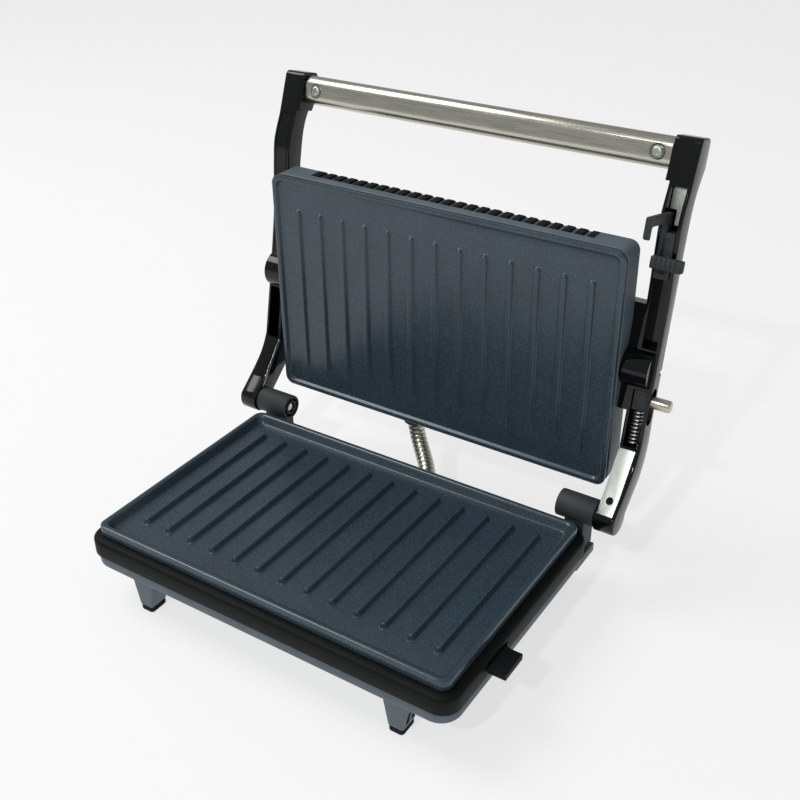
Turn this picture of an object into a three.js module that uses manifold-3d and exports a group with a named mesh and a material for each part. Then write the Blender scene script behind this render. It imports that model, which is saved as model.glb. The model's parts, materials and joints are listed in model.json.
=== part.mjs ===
// A contact grill (panini press) standing open, in millimetres, +Z up.
// The base is drawn from the plane of its plate rim, the arms from the hinge axis and the lid
// from its pivot. Arms and lid are drawn in the closed position and then turned open by their groups.
import * as THREE from "three";
import { mergeVertices } from "three/addons/utils/BufferGeometryUtils.js";
import Module from "manifold-3d";

const wasm = await Module();
wasm.setup();

// ---- Driving sizes -------------------------------------------------------------------------

const clearance = 0.3; // between pieces that touch
const rimHeight = 50; // table to the lower plate's rim

// grill plates
const plateWidth = 230;
const plateDepth = 145;
const plateCorner = 5;
const lowerCasting = { wallShown: 6.4, thickness: 8, step: 4, pan: 5.2, draft: 2, rib: 3, rim: 3.2 };
const upperCasting = { wallShown: 2.2, thickness: 5.7, step: 3, pan: 2, draft: 1.2, rib: 1.8, rim: 2.6 };
const ribCount = 13;
const ribPitch = 16.2;
const ribWidth = 4.6;
const ribLength = 109;
const ribShift = 1.8; // ribs sit a little nearer the hinge
const ribRoot = 1.5; // part of a rib that is sunk in the plate

// base
const trimProud = 5;
const trimHeight = 11.2;
const trimCorner = 11;
const trimChamfer = 2.4;
const housingProud = 4;
const housingCorner = 12;
const housingWallHeight = 5; // upright part below the trim
const housingRound = 2.5; // rounded edge below that
const housingTaper = 24; // how far the underside slopes in
const housingDrop = 12; // and how far it slopes down
const housingWall = 2.6;
const padHeight = 3;
const footFrontIn = 30; // front feet inside the plate's sides
const footRearIn = 13;
const footEdge = 6.5; // feet inside the plate's front and rear edges
const footWidth = 9;
const footLength = 12;
const footRearLength = 26; // rear feet reach back under the hinge posts
const footTaper = 4;
const rearBoxDepth = 26;
const rearBoxHeight = 16;
const glandFlange = 6;
const elementRadius = 3;
const elementInset = 34; // element path inside the plate's edge
const elementBend = 18;
const sheet = 0.8;

// hinge
const hingeRise = 2; // hinge axis above the rim plane
const barrelRadius = 8;
const barrelLength = 23.5; // from the arm inwards
const barrelWeb = 12; // width of the post under the barrel
const hingePinRadius = 3;
const pinFit = 0.3; // radial play of pins and bushes

// lid
const lidThickness = 22.5; // rim plane to top
const lidSeam = 1.4; // dark joint between the plate's rim and the housing
const lidWall = 2.6;
const lidEdgeRound = 4;
const lidLift = 7.4; // open lid's lower edge above the rim plane
const lidSetback = 29; // open lid's rim plane behind the plate's edge
const plateGap = 0.4; // between the rims when closed
const pivotBack = 16.5; // pivot behind the lid's rim plane
const pivotForward = 1.1; // pivot a little nearer the handle than the lid's middle
const louvreCount = 25;
const louvrePitch = 7.5;
const louvreGroove = 2.6;
const louvreDepth = 1.5;
const louvreWrap = 9;
const louvreBand = 6.5; // plain band below the louvre bars
const panelInset = 26;
const panelDepth = 1.2;
const lampRadius = 3.2;
const lampSpacing = 16;

// arms
const armGap = 5.5; // plate's side to the arm
const armWidth = 12.5;
const armSkin = 2;
const armBelly = 5.6; // lowest part of the arm's lower edge, above the hinge axis when closed
const armRound = 9; // radius of the arm around the hinge
const hubGap = 2.6; // plate's side to the arm's hub
const hubRadius = 11;
const hubSpread = 36; // thick stretch on the handle side of the pivot
const hubTail = 25; // thick stretch on the hinge side
const pivotPinRadius = 4;
const recessRadius = 1.8; // blind hole on the arm's outer face, over the hub
const recessDepth = 4;
const handleAhead = 43.3; // handle before the plate's front edge, closed
const handleRise = 19.5; // handle above the hinge, closed
const handleWidth = 17;
const handleThickness = 12.5;
const handleWall = 2;
const tongueLength = 18;
const handleScrewInset = 8;
const screwHeadRadius = 3;
const screwRadius = 1.5;
const screwHeadHeight = 1.6;
const screwSink = 1.3; // pocket of the screw's head in the handle's wall
const screwGrip = 8; // shank under the head
const strapThickness = 1.5;
const strapLength = 36;
const strapClimb = 17.6; // how far the leaf rises over that length
const strapEye = 5.2;

// latch
const lugLength = 17.5;
const lugReach = 10;
const lugThickness = 5;
const lugDrop = 10; // rim plane to the lug's top
const lugBack = 30; // lug's front end behind the plate's front edge
const latchTravel = 39;
const hookClear = 1;
const hookThickness = 3;
const hookDepth = 5;
const clawLength = 6.5;
const clawHeight = 3.5;
const railTop = 15; // above the hinge axis, closed
const thumbWidth = 17.5;
const thumbHeight = 6.7;
const thumbThickness = 5;
const thumbFromHook = 24;

// release pin of the open stop
const releasePinRadius = 3.5;
const releasePinOut = 11;
const releaseTravel = 10;
const releaseRise = 17.2;
const catchLength = 12;
const springRadius = 3.2;
const springWire = 1.2;

// conduit
const conduitRadius = 5.2;
const conduitX = 7;
const conduitLidX = -19;
const conduitDrop = 25.6;

// ---- Positions worked out from them --------------------------------------------------------

const halfW = plateWidth / 2;
const halfD = plateDepth / 2;
const trimBottom = -lowerCasting.wallShown - clearance - trimHeight;
const housingTop = trimBottom - clearance;
const bandBottom = housingTop - housingWallHeight - housingRound;
const housingBottom = bandBottom - housingDrop;
const housingHalfD = halfD + housingProud;
const housingHalfW = halfW + housingProud;
const armInner = halfW + armGap;
const armOuter = armInner + armWidth;
const hubInner = halfW + hubGap;
const barrelInner = armInner - barrelLength;
const pivotAlong = halfD + pivotForward; // from the lid's hinge-side edge

// The pivot of the lid, open and closed, in (y, z) from the plate's centre and the rim plane.
const pivotOpen = new THREE.Vector2(halfD + lidSetback + pivotBack, lidLift + pivotAlong);
const pivotClosed = new THREE.Vector2(halfD - pivotAlong, plateGap + pivotBack);

// The hinge is as far from the open pivot as from the closed one.
const hingeY =
  (pivotOpen.lengthSq() - pivotClosed.lengthSq() - 2 * hingeRise * (pivotOpen.y - pivotClosed.y)) /
  (2 * (pivotOpen.x - pivotClosed.x));
const hinge = new THREE.Vector2(hingeY, hingeRise);
const closeAngle = pivotClosed.clone().sub(hinge).angle() - pivotOpen.clone().sub(hinge).angle();
const pivotReach = hinge.x - pivotClosed.x;
const pivotRise = pivotClosed.y - hinge.y;
const handleReach = hinge.x + halfD + handleAhead;

// ---- Materials -----------------------------------------------------------------------------

function material(color, roughness, metalness) {
  return new THREE.MeshStandardMaterial({ color, roughness, metalness });
}

const nonStick = material(0x3a4750, 0.5, 0.3);
const slatePlastic = material(0x56646e, 0.55, 0);
const trimPlastic = material(0x202222, 0.45, 0);
const armPlastic = material(0x0c0d0e, 0.18, 0);
const mattePlastic = material(0x2b2d2f, 0.7, 0);
const brushedSteel = material(0xb9b5aa, 0.35, 1);
const satinSteel = material(0xa9bbb4, 0.45, 1);
const rubber = material(0x161718, 0.9, 0);
const ceramic = material(0xd8d4c8, 0.7, 0);
const redLens = material(0xb3201c, 0.15, 0);
const greenLens = material(0x2d8a3c, 0.15, 0);

// ---- Helpers -------------------------------------------------------------------------------

// A closed geometry as a solid, with only its position kept.
function toSolid(geometry) {
  const bare = geometry.clone();
  for (const name of Object.keys(bare.attributes)) {
    if (name !== "position") {
      bare.deleteAttribute(name);
    }
  }
  const merged = mergeVertices(bare, 1e-4);
  const mesh = new wasm.Mesh({
    numProp: 3,
    vertProperties: Float32Array.from(merged.attributes.position.array),
    triVerts: Uint32Array.from(merged.index.array),
  });
  return new wasm.Manifold(mesh);
}

function toGeometry(solid) {
  const mesh = solid.getMesh();
  const geometry = new THREE.BufferGeometry();
  geometry.setAttribute("position", new THREE.BufferAttribute(mesh.vertProperties, 3));
  geometry.setIndex(new THREE.BufferAttribute(mesh.triVerts, 1));
  geometry.computeVertexNormals();
  return geometry;
}

function cut(geometry, ...tools) {
  let solid = toSolid(geometry);
  for (const tool of tools) {
    solid = solid.subtract(toSolid(tool));
  }
  return toGeometry(solid);
}

function join(...geometries) {
  return toGeometry(geometries.map(toSolid).reduce((whole, piece) => whole.add(piece)));
}

function common(first, second) {
  return toGeometry(toSolid(first).intersect(toSolid(second)));
}

// A box between two corners.
function block(x0, x1, y0, y1, z0, z1) {
  const box = new THREE.BoxGeometry(x1 - x0, y1 - y0, z1 - z0);
  return box.translate((x0 + x1) / 2, (y0 + y1) / 2, (z0 + z1) / 2);
}

function roundedRect(width, depth, corner) {
  const x = width / 2 - corner;
  const y = depth / 2 - corner;
  const shape = new THREE.Shape();
  shape.absarc(x, y, corner, 0, Math.PI / 2);
  shape.absarc(-x, y, corner, Math.PI / 2, Math.PI);
  shape.absarc(-x, -y, corner, Math.PI, Math.PI * 1.5);
  shape.absarc(x, -y, corner, Math.PI * 1.5, Math.PI * 2);
  shape.closePath();
  return shape;
}

// An outline with two round ends, long in y.
function roundEnded(width, length) {
  const radius = width / 2;
  const y = length / 2 - radius;
  const shape = new THREE.Shape();
  shape.absarc(0, y, radius, 0, Math.PI);
  shape.absarc(0, -y, radius, Math.PI, Math.PI * 2);
  shape.closePath();
  return shape;
}

// A slab of an outline between two heights, with its edges bevelled inside its own size.
function slabOf(shape, z0, z1, bevel = 0, segments = 2) {
  const geometry = new THREE.ExtrudeGeometry(shape, {
    depth: z1 - z0 - 2 * bevel,
    curveSegments: 3,
    bevelEnabled: bevel > 0,
    bevelThickness: bevel,
    bevelSize: bevel,
    bevelOffset: -bevel,
    bevelSegments: segments,
  });
  return geometry.translate(0, 0, z0 + bevel);
}

function slab(width, depth, corner, z0, z1, bevel = 0, segments = 2) {
  return slabOf(roundedRect(width, depth, corner), z0, z1, bevel, segments);
}

// Turns a profile drawn in (y, z) into a solid between two values of x.
const yzProfile = new THREE.Matrix4().makeBasis(
  new THREE.Vector3(0, 1, 0),
  new THREE.Vector3(0, 0, 1),
  new THREE.Vector3(1, 0, 0),
);

function alongX(shape, x0, x1, bevel = 0) {
  const geometry = new THREE.ExtrudeGeometry(shape, {
    depth: x1 - x0 - 2 * bevel,
    curveSegments: 3,
    bevelEnabled: bevel > 0,
    bevelThickness: bevel,
    bevelSize: bevel,
    bevelOffset: -bevel,
    bevelSegments: 2,
  });
  geometry.translate(0, 0, bevel);
  return geometry.applyMatrix4(yzProfile).translate(x0, 0, 0);
}

// A round bar along X.
function barX(radius, x0, x1, y, z, sides = 24) {
  const bar = new THREE.CylinderGeometry(radius, radius, x1 - x0, sides);
  return bar.rotateZ(-Math.PI / 2).translate((x0 + x1) / 2, y, z);
}

function barY(radius, y0, y1, x, z, sides = 24) {
  return new THREE.CylinderGeometry(radius, radius, y1 - y0, sides).translate(x, (y0 + y1) / 2, z);
}

function barZ(radius, z0, z1, x, y, sides = 24) {
  const bar = new THREE.CylinderGeometry(radius, radius, z1 - z0, sides);
  return bar.rotateX(Math.PI / 2).translate(x, y, (z0 + z1) / 2);
}

// A turned piece about X. The profile is a list of [x, radius] that starts and ends on the axis.
function turnedX(profile, y, z, sides = 24) {
  const points = profile.map(([x, radius]) => new THREE.Vector2(radius, x));
  return new THREE.LatheGeometry(points, sides).rotateZ(-Math.PI / 2).translate(0, y, z);
}

// A ring about Z or, turned, about another axis, closed on itself.
function ring(inner, outer, height, sides = 24) {
  const corners = [
    [inner, 0],
    [outer, 0],
    [outer, height],
    [inner, height],
    [inner, 0],
  ];
  const points = corners.map(([radius, y]) => new THREE.Vector2(radius, y));
  return new THREE.LatheGeometry(points, sides).rotateX(Math.PI / 2);
}

function mirrored(geometry) {
  return toGeometry(toSolid(geometry).mirror([1, 0, 0]));
}

// A round tube along a curve.
function tube(curve, radius, steps, sides = 10) {
  const section = new THREE.Shape();
  section.absarc(0, 0, radius, 0, Math.PI * 2);
  return new THREE.ExtrudeGeometry(section, {
    extrudePath: curve,
    steps,
    curveSegments: sides / 2,
    bevelEnabled: false,
  });
}

function place(group, name, geometry, finish) {
  const mesh = new THREE.Mesh(geometry, finish);
  mesh.name = name;
  group.add(mesh);
}

// ---- Groups --------------------------------------------------------------------------------

const group = new THREE.Group();
const press = new THREE.Group();
const base = new THREE.Group();
const arms = new THREE.Group();
const lid = new THREE.Group();
group.add(press);
press.add(base, arms, lid);
press.position.z = rimHeight;
arms.position.set(0, hinge.x, hinge.y);
arms.rotation.x = -closeAngle;
lid.position.set(0, pivotOpen.x, pivotOpen.y);
lid.rotation.x = -Math.PI / 2;

// ---- Grill plates --------------------------------------------------------------------------

// A cast plate with its rim at z = 0 and its cooking side up. Of a casting, wallShown is the height
// of the rim's outer wall, step how far the body below it is set in, pan the depth of the pan, draft
// the slope of its wall, rib the height of the ribs and rim the width of the edge.
function grillPlate(casting) {
  const rim = slab(plateWidth, plateDepth, plateCorner, -casting.wallShown, 0, 0.6, 1);
  const lowerWidth = plateWidth - 2 * casting.step;
  const lowerDepth = plateDepth - 2 * casting.step;
  const lower = slab(lowerWidth, lowerDepth, plateCorner, -casting.thickness, -casting.wallShown / 2);
  // The pan is widest at the rim: a bevelled slab, twice as tall, whose upper half is in the air.
  const rims = 2 * casting.rim;
  const panShape = roundedRect(plateWidth - rims, plateDepth - rims, plateCorner);
  const pan = new THREE.ExtrudeGeometry(panShape, {
    depth: 2,
    curveSegments: 3,
    bevelThickness: casting.pan,
    bevelSize: casting.draft,
    bevelOffset: -casting.draft,
    bevelSegments: 1,
  });
  // The wide part of the pan starts just above the rim.
  pan.translate(0, 0, 0.01);
  let plate = cut(join(rim, lower), pan);
  const ribs = [];
  for (let i = 0; i < ribCount; i += 1) {
    const rib = slabOf(roundEnded(ribWidth, ribLength), 0, casting.rib + ribRoot, 1.1, 1);
    const x = (i - (ribCount - 1) / 2) * ribPitch;
    ribs.push(rib.translate(x, ribShift, -casting.pan - ribRoot));
  }
  plate = join(plate, ...ribs);
  return plate;
}

place(base, "lower_grill_plate", grillPlate(lowerCasting), nonStick);

// ---- Base ----------------------------------------------------------------------------------

const trimOuter = slab(
  plateWidth + 2 * trimProud,
  plateDepth + 2 * trimProud,
  trimCorner,
  trimBottom,
  trimBottom + trimHeight,
  trimChamfer,
);
const trimHole = slab(
  plateWidth - 2 * lowerCasting.step + 2 * clearance,
  plateDepth - 2 * lowerCasting.step + 2 * clearance,
  plateCorner,
  trimBottom - 1,
  0,
);
place(base, "base_trim_frame", cut(trimOuter, trimHole), trimPlastic);

// The housing's outside, or with an inset its inside: an upright band over an underside that slopes
// in to a smaller floor.
function housingBody(inset) {
  const width = 2 * (housingHalfW - inset);
  const depth = 2 * (housingHalfD - inset);
  const corner = housingCorner - inset;
  const bottom = housingBottom + inset;
  const band = slab(width, depth, corner, bandBottom + inset, 0, housingRound, 2);
  const floor = slab(width - 2 * housingTaper, depth - 2 * housingTaper, corner, bottom, bottom + 1);
  const full = toGeometry(wasm.Manifold.hull([toSolid(band), toSolid(floor)]));
  return common(full, block(-halfW * 2, halfW * 2, -halfD * 2, halfD * 2, bottom - 1, housingTop));
}

const feet = [];
for (const side of [-1, 1]) {
  const hand = side < 0 ? "left" : "right";
  feet.push({
    name: "front_" + hand,
    x: side * (halfW - footFrontIn),
    y: footEdge - halfD,
    length: footLength,
  });
  feet.push({
    name: "rear_" + hand,
    x: side * (halfW - footRearIn),
    y: halfD - footEdge + (footRearLength - footLength) / 2,
    length: footRearLength,
  });
}

// A leg tapers from the housing's underside to its pad.
const shelfTop = -rimHeight / 2;
function footLeg(foot) {
  const top = shelfTop;
  const bottom = padHeight + clearance - rimHeight;
  const shape = new THREE.Shape();
  shape.moveTo(-footWidth / 2, bottom);
  shape.lineTo(footWidth / 2, bottom);
  shape.lineTo(footWidth / 2 + footTaper, top);
  shape.lineTo(-footWidth / 2 - footTaper, top);
  shape.closePath();
  const leg = new THREE.ExtrudeGeometry(shape, { depth: foot.length, bevelEnabled: false });
  return leg.rotateX(Math.PI / 2).translate(foot.x, foot.y + foot.length / 2, 0);
}

const shelfReach = hinge.x + barrelRadius;
function hingeShelf(side) {
  const middle = side * (barrelInner + armInner) / 2;
  const half = barrelWeb / 2 + 2;
  return block(middle - half, middle + half, housingHalfD - 8, shelfReach, shelfTop - 6, shelfTop);
}

// A box at the rear of the housing, or with an inset its inside, where conduit and mains lead enter.
function rearBox(inset) {
  const x0 = conduitX - conduitRadius - 6 + inset;
  const x1 = halfW / 2 + glandFlange + 3 - inset;
  const z0 = housingTop - rearBoxHeight + inset;
  return block(x0, x1, housingHalfD - rearBoxDepth, housingHalfD - inset, z0, housingTop);
}

let housing = housingBody(0);
housing = join(housing, hingeShelf(-1), hingeShelf(1), ...feet.map(footLeg), rearBox(0));
housing = cut(housing, housingBody(housingWall), rearBox(housingWall));
place(base, "base_housing", housing, slatePlastic);

for (const foot of feet) {
  const pad = slab(footWidth, foot.length, 2, 0, padHeight, 0.6, 1);
  place(base, "foot_pad_" + foot.name, pad.translate(foot.x, foot.y, -rimHeight), rubber);
}

// The hinge barrels stand on the housing's rear shelves.
function hingeBarrel() {
  const outer = armInner - clearance;
  const barrel = barX(barrelRadius, barrelInner, outer, hinge.x, hinge.y, 32);
  const middle = (barrelInner + armInner) / 2;
  const half = barrelWeb / 2;
  const postFront = halfD + trimProud + clearance;
  const postFoot = shelfTop + clearance;
  const post = block(middle - half, middle + half, postFront, shelfReach, postFoot, hinge.y);
  const bore = barX(hingePinRadius + pinFit, barrelInner - 1, outer + 1, hinge.x, hinge.y);
  const recess = barX(barrelRadius - 1.6, barrelInner - 1, barrelInner + 2.5, hinge.x, hinge.y);
  const eye = barX(hingePinRadius + 1.6, barrelInner, barrelInner + 3, hinge.x, hinge.y);
  return cut(join(cut(join(barrel, post), recess), eye), bore);
}

const hingePinEnd = armOuter - armSkin - clearance;
const hingePin = barX(hingePinRadius, barrelInner + 1, hingePinEnd, hinge.x, hinge.y);
place(base, "hinge_barrel_right", hingeBarrel(), mattePlastic);
place(base, "hinge_barrel_left", mirrored(hingeBarrel()), mattePlastic);
place(base, "hinge_pin_right", hingePin, brushedSteel);
place(base, "hinge_pin_left", mirrored(hingePin), brushedSteel);

// The lug that the latch's claw pulls on, with a fillet at its rear root.
const lugRoot = halfW + trimProud + clearance;
const lugFront = lugBack - halfD;
const lugShape = new THREE.Shape();
lugShape.moveTo(lugRoot, lugFront);
lugShape.lineTo(lugRoot + lugReach, lugFront);
lugShape.lineTo(lugRoot + lugReach, lugFront + lugLength);
lugShape.lineTo(lugRoot + 3, lugFront + lugLength);
lugShape.quadraticCurveTo(lugRoot, lugFront + lugLength, lugRoot, lugFront + lugLength + 4);
lugShape.closePath();
const lug = new THREE.ExtrudeGeometry(lugShape, {
  depth: lugThickness,
  curveSegments: 5,
  bevelEnabled: false,
});
place(base, "latch_lug", lug.translate(0, 0, -lugDrop - lugThickness), trimPlastic);

// Heating element: one long bend of tube under a plate, drawn in the plate's own frame.
function heatingElement(casting) {
  const x = halfW - elementInset;
  const y = halfD - elementInset;
  const z = -casting.thickness - clearance - elementRadius;
  const path = new THREE.CurvePath();
  const corner = (cx, cy, ax, ay, bx, by) =>
    new THREE.QuadraticBezierCurve3(
      new THREE.Vector3(ax, ay, z),
      new THREE.Vector3(cx, cy, z),
      new THREE.Vector3(bx, by, z),
    );
  const side = (ax, ay, bx, by) =>
    new THREE.LineCurve3(new THREE.Vector3(ax, ay, z), new THREE.Vector3(bx, by, z));
  path.add(side(-elementBend, y, -x + elementBend, y));
  path.add(corner(-x, y, -x + elementBend, y, -x, y - elementBend));
  path.add(side(-x, y - elementBend, -x, -y + elementBend));
  path.add(corner(-x, -y, -x, -y + elementBend, -x + elementBend, -y));
  path.add(side(-x + elementBend, -y, x - elementBend, -y));
  path.add(corner(x, -y, x - elementBend, -y, x, -y + elementBend));
  path.add(side(x, -y + elementBend, x, y - elementBend));
  path.add(corner(x, y, x, y - elementBend, x - elementBend, y));
  path.add(side(x - elementBend, y, elementBend, y));
  return tube(path, elementRadius, 40, 8);
}

// A sheet pan around the element, with its edge against the plate's underside.
const reflectorInset = 8; // inside the plate's edge
const reflectorWidth = plateWidth - 2 * reflectorInset;
const reflectorDepth = plateDepth - 2 * reflectorInset;
const reflectorRise = 2 * clearance + 2 * elementRadius + 1;
function reflectorPan(casting) {
  const floor = -casting.thickness - reflectorRise;
  const edge = -casting.thickness - clearance;
  return cut(
    slab(reflectorWidth, reflectorDepth, plateCorner, floor - sheet, edge),
    slab(reflectorWidth - 2 * sheet, reflectorDepth - 2 * sheet, plateCorner, floor, 0),
  );
}

place(base, "lower_heating_element", heatingElement(lowerCasting), satinSteel);
place(base, "lower_reflector", reflectorPan(lowerCasting), satinSteel);

const reflectorFloor = -lowerCasting.thickness - reflectorRise;
const elementBottom = reflectorFloor + 1;
const thermostat = join(
  barZ(9, reflectorFloor + clearance, -lowerCasting.thickness - clearance, 0, 0, 20),
  block(-13, 13, -3, 3, reflectorFloor + clearance, reflectorFloor + 1.5),
);
place(base, "thermostat", thermostat, ceramic);
const fuse = barX(2.2, -36, -20, 12, elementBottom + 3, 12);
place(base, "thermal_fuse", fuse, satinSteel);
const blockTop = reflectorFloor - sheet - 3;
const terminal = slab(32, 12, 1, housingBottom + housingWall + clearance, blockTop, 0.5, 1);
place(base, "terminal_block", terminal.translate(45, halfD - 28, 0), ceramic);

// The inlet gland at the back, where the mains lead enters.
const glandZ = housingTop - glandFlange - clearance;
const glandStart = housingHalfD + clearance;
const gland = cut(
  join(
    barY(glandFlange, glandStart, glandStart + 4, halfW / 2, glandZ, 20),
    barY(4.4, glandStart, glandStart + 14, halfW / 2, glandZ, 20),
  ),
  barY(2.6, glandStart + 4, glandStart + 15, halfW / 2, glandZ, 12),
);
place(base, "inlet_gland", gland, mattePlastic);

// ---- Conduit between base and lid ----------------------------------------------------------

const socketLength = 4;
const socketFit = 0.5; // the conduit is a little out of line in its sockets
const conduitLidZ = -6; // from the lid's pivot, closed
const lidEdgeY = pivotAlong; // hinge-side face of the closed lid, from the pivot
const lidSocket = ring(conduitRadius + socketFit, conduitRadius + 2.2, socketLength, 20)
  .rotateX(-Math.PI / 2)
  .translate(conduitLidX, lidEdgeY + clearance, conduitLidZ);
place(lid, "conduit_socket_lid", lidSocket, mattePlastic);
const baseSocket = ring(conduitRadius + socketFit, conduitRadius + 2.2, socketLength, 20)
  .rotateX(-Math.PI / 2)
  .translate(conduitX, housingHalfD + clearance, -conduitDrop);
place(base, "conduit_socket_base", baseSocket, mattePlastic);

const conduitEnd = new THREE.Vector3(
  conduitLidX,
  pivotOpen.x + conduitLidZ,
  pivotOpen.y - lidEdgeY - clearance,
);
const conduitStart = new THREE.Vector3(conduitX, housingHalfD + clearance, -conduitDrop);
const conduitPath = new THREE.CubicBezierCurve3(
  conduitStart,
  conduitStart.clone().add(new THREE.Vector3(0, 22, 0)),
  conduitEnd.clone().add(new THREE.Vector3(0, 0, -24)),
  conduitEnd,
);
place(base, "conduit", tube(conduitPath, conduitRadius, 10, 12), brushedSteel);

// ---- Lid, drawn closed from its pivot ------------------------------------------------------

const lidRim = -pivotBack;
const lidTop = lidRim + lidThickness;
const lidMiddle = pivotAlong - halfD;
const lidHousingBottom = lidRim + upperCasting.wallShown + lidSeam;

// The upper plate and what is behind it lie face down in the closed lid.
function faceDown(geometry) {
  return geometry.rotateY(Math.PI).translate(0, lidMiddle, lidRim);
}

place(lid, "upper_grill_plate", faceDown(grillPlate(upperCasting)), nonStick);
place(lid, "upper_heating_element", faceDown(heatingElement(upperCasting)), satinSteel);
place(lid, "upper_reflector", faceDown(reflectorPan(upperCasting)), satinSteel);

const lidCeiling = lidTop - lidWall;
const panelTop = lidTop - panelDepth;
const panelCorner = 10;
const louvreFoot = lidHousingBottom + louvreBand;

function louvreGrooves() {
  const front = lidMiddle - halfD;
  const grooves = [];
  for (let i = 0; i < louvreCount - 1; i += 1) {
    const x = (i - (louvreCount - 2) / 2) * louvrePitch;
    const x0 = x - louvreGroove / 2;
    const x1 = x + louvreGroove / 2;
    const top = lidTop - louvreDepth;
    grooves.push(block(x0, x1, front - 1, front + louvreDepth, louvreFoot, lidTop + 1));
    grooves.push(block(x0, x1, front - 1, front + louvreWrap, top, lidTop + 1));
  }
  return grooves;
}

function lampHoles(radius) {
  const y = lidMiddle - halfD + panelInset / 2 + 2;
  return [-lampSpacing / 2, lampSpacing / 2].map((x) => barZ(radius, lidCeiling - 1, lidTop + 1, x, y, 20));
}

// The housing's lower edge is square, so its rounded slab starts further down and is cut off.
const lidBelow = lidHousingBottom - lidEdgeRound - 1;
const lidOuter = common(
  slab(plateWidth, plateDepth, plateCorner + 1, lidBelow, lidTop, lidEdgeRound, 3).translate(
    0,
    lidMiddle,
    0,
  ),
  block(-halfW, halfW, lidMiddle - halfD, lidMiddle + halfD, lidHousingBottom, lidTop),
);
const lidInside = slab(
  plateWidth - 2 * lidWall,
  plateDepth - 2 * lidWall,
  plateCorner,
  lidBelow,
  lidCeiling,
).translate(0, lidMiddle, 0);
const panelPocket = slab(
  plateWidth - 2 * panelInset,
  plateDepth - 2 * panelInset,
  panelCorner,
  panelTop,
  lidTop + 1,
).translate(0, lidMiddle, 0);
const lidHousing = cut(
  lidOuter,
  lidInside,
  panelPocket,
  ...louvreGrooves(),
  ...lampHoles(lampRadius + clearance),
);
place(lid, "lid_housing", lidHousing, slatePlastic);

const panel = slab(
  plateWidth - 2 * (panelInset + clearance),
  plateDepth - 2 * (panelInset + clearance),
  panelCorner,
  panelTop + clearance,
  lidTop + 0.6,
  0.4,
  1,
).translate(0, lidMiddle, 0);
place(lid, "lid_cover_panel", panel, brushedSteel);

// Lamps: a stem in the top wall under a low dome.
function lampLens(x) {
  const profile = [
    [0, 0],
    [lampRadius, 0],
    [lampRadius, lidWall + 0.4],
    [lampRadius + 1, lidWall + 0.4],
    [lampRadius + 0.6, lidWall + 1.2],
    [lampRadius / 2, lidWall + 1.9],
    [0, lidWall + 2.1],
  ];
  const points = profile.map(([radius, z]) => new THREE.Vector2(radius, z));
  const lens = new THREE.LatheGeometry(points, 20).rotateX(Math.PI / 2);
  return lens.translate(x, lidMiddle - halfD + panelInset / 2 + 2, lidCeiling);
}

place(lid, "power_lamp", lampLens(-lampSpacing / 2), redLens);
place(lid, "ready_lamp", lampLens(lampSpacing / 2), greenLens);

// Pivot bushes and pins, which turn with the lid inside the arms' hubs.
const bush = ring(pivotPinRadius + clearance, 8, hubInner - halfW - 2 * clearance)
  .rotateY(Math.PI / 2)
  .translate(halfW + clearance, 0, 0);
place(lid, "pivot_bush_right", bush, mattePlastic);
place(lid, "pivot_bush_left", mirrored(bush), mattePlastic);
const pivotPin = barX(pivotPinRadius, halfW + clearance, armOuter - armSkin - 2 * clearance, 0, 0);
place(lid, "pivot_pin_right", pivotPin, brushedSteel);
place(lid, "pivot_pin_left", mirrored(pivotPin), brushedSteel);

// ---- Arms, drawn closed from the hinge axis ------------------------------------------------

const tubeBottom = -handleThickness / 2; // from the handle's middle
const tubeEnd = hubInner + 0.4;
const screwX = tubeEnd - handleScrewInset;
const channelInner = armInner + armSkin;
const channelOuter = armOuter - armSkin;
const strapSlope = Math.atan2(strapClimb, strapLength);
const bayStart = strapLength + strapEye * Math.sin(strapSlope) + 2 * clearance;
const bayEnd = pivotReach - hubRadius - 1;
const trackStart = pivotReach + hubRadius + 0.5;
const trackEnd = handleReach - 15;
const recessReach = pivotReach - 2;
const recessRise = pivotRise + pivotPinRadius + pinFit + recessRadius + 0.4;

// The outline of an arm: its lower edge out to the handle, the end, then its upper edge back.
const armEnd = handleReach + handleWidth / 2 + 1.5;
function armOutline() {
  const lower = [
    [20, 4.2],
    [30, 9.9],
    [strapLength + 4, 12.8],
    [pivotReach + 29, 11.2],
    [handleReach - 49, 7],
    [handleReach - 32, armBelly],
    [handleReach - 16, 9],
  ];
  const upper = [
    [handleReach - 21, 20.6],
    [handleReach - 40, 19.4],
    [pivotReach + 35, 21.2],
    [pivotReach - 10, 23.4],
    [55, 24.4],
    [42, 26],
    [31, 25.4],
    [19, 21.6],
  ];
  const endLow = handleRise - handleThickness / 2 - 1;
  const endHigh = handleRise + handleThickness / 2 + 1;
  const shape = new THREE.Shape();
  shape.moveTo(-armRound * 0.3, -armRound * 0.95);
  shape.splineThru(lower.slice(0, 3).map(([u, z]) => new THREE.Vector2(-u, z)));
  shape.splineThru(lower.slice(3).map(([u, z]) => new THREE.Vector2(-u, z)));
  shape.lineTo(-armEnd + 3, endLow);
  shape.quadraticCurveTo(-armEnd, endLow + 0.5, -armEnd, endLow + 4);
  shape.lineTo(-armEnd, endHigh - 3);
  shape.quadraticCurveTo(-armEnd, endHigh, -armEnd + 3, endHigh);
  shape.lineTo(-handleReach + 6, endHigh);
  shape.splineThru(upper.map(([u, z]) => new THREE.Vector2(-u, z)));
  shape.absarc(0, 0, armRound, Math.PI * 0.56, -Math.PI * 0.58, true);
  shape.closePath();
  return shape;
}

// The stretch of the arm between two distances from the hinge.
function armStretch(from, to, x0, x1) {
  return common(alongX(armOutline(), x0, x1), block(x0 - 1, x1 + 1, -to, -from, -40, 60));
}

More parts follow.
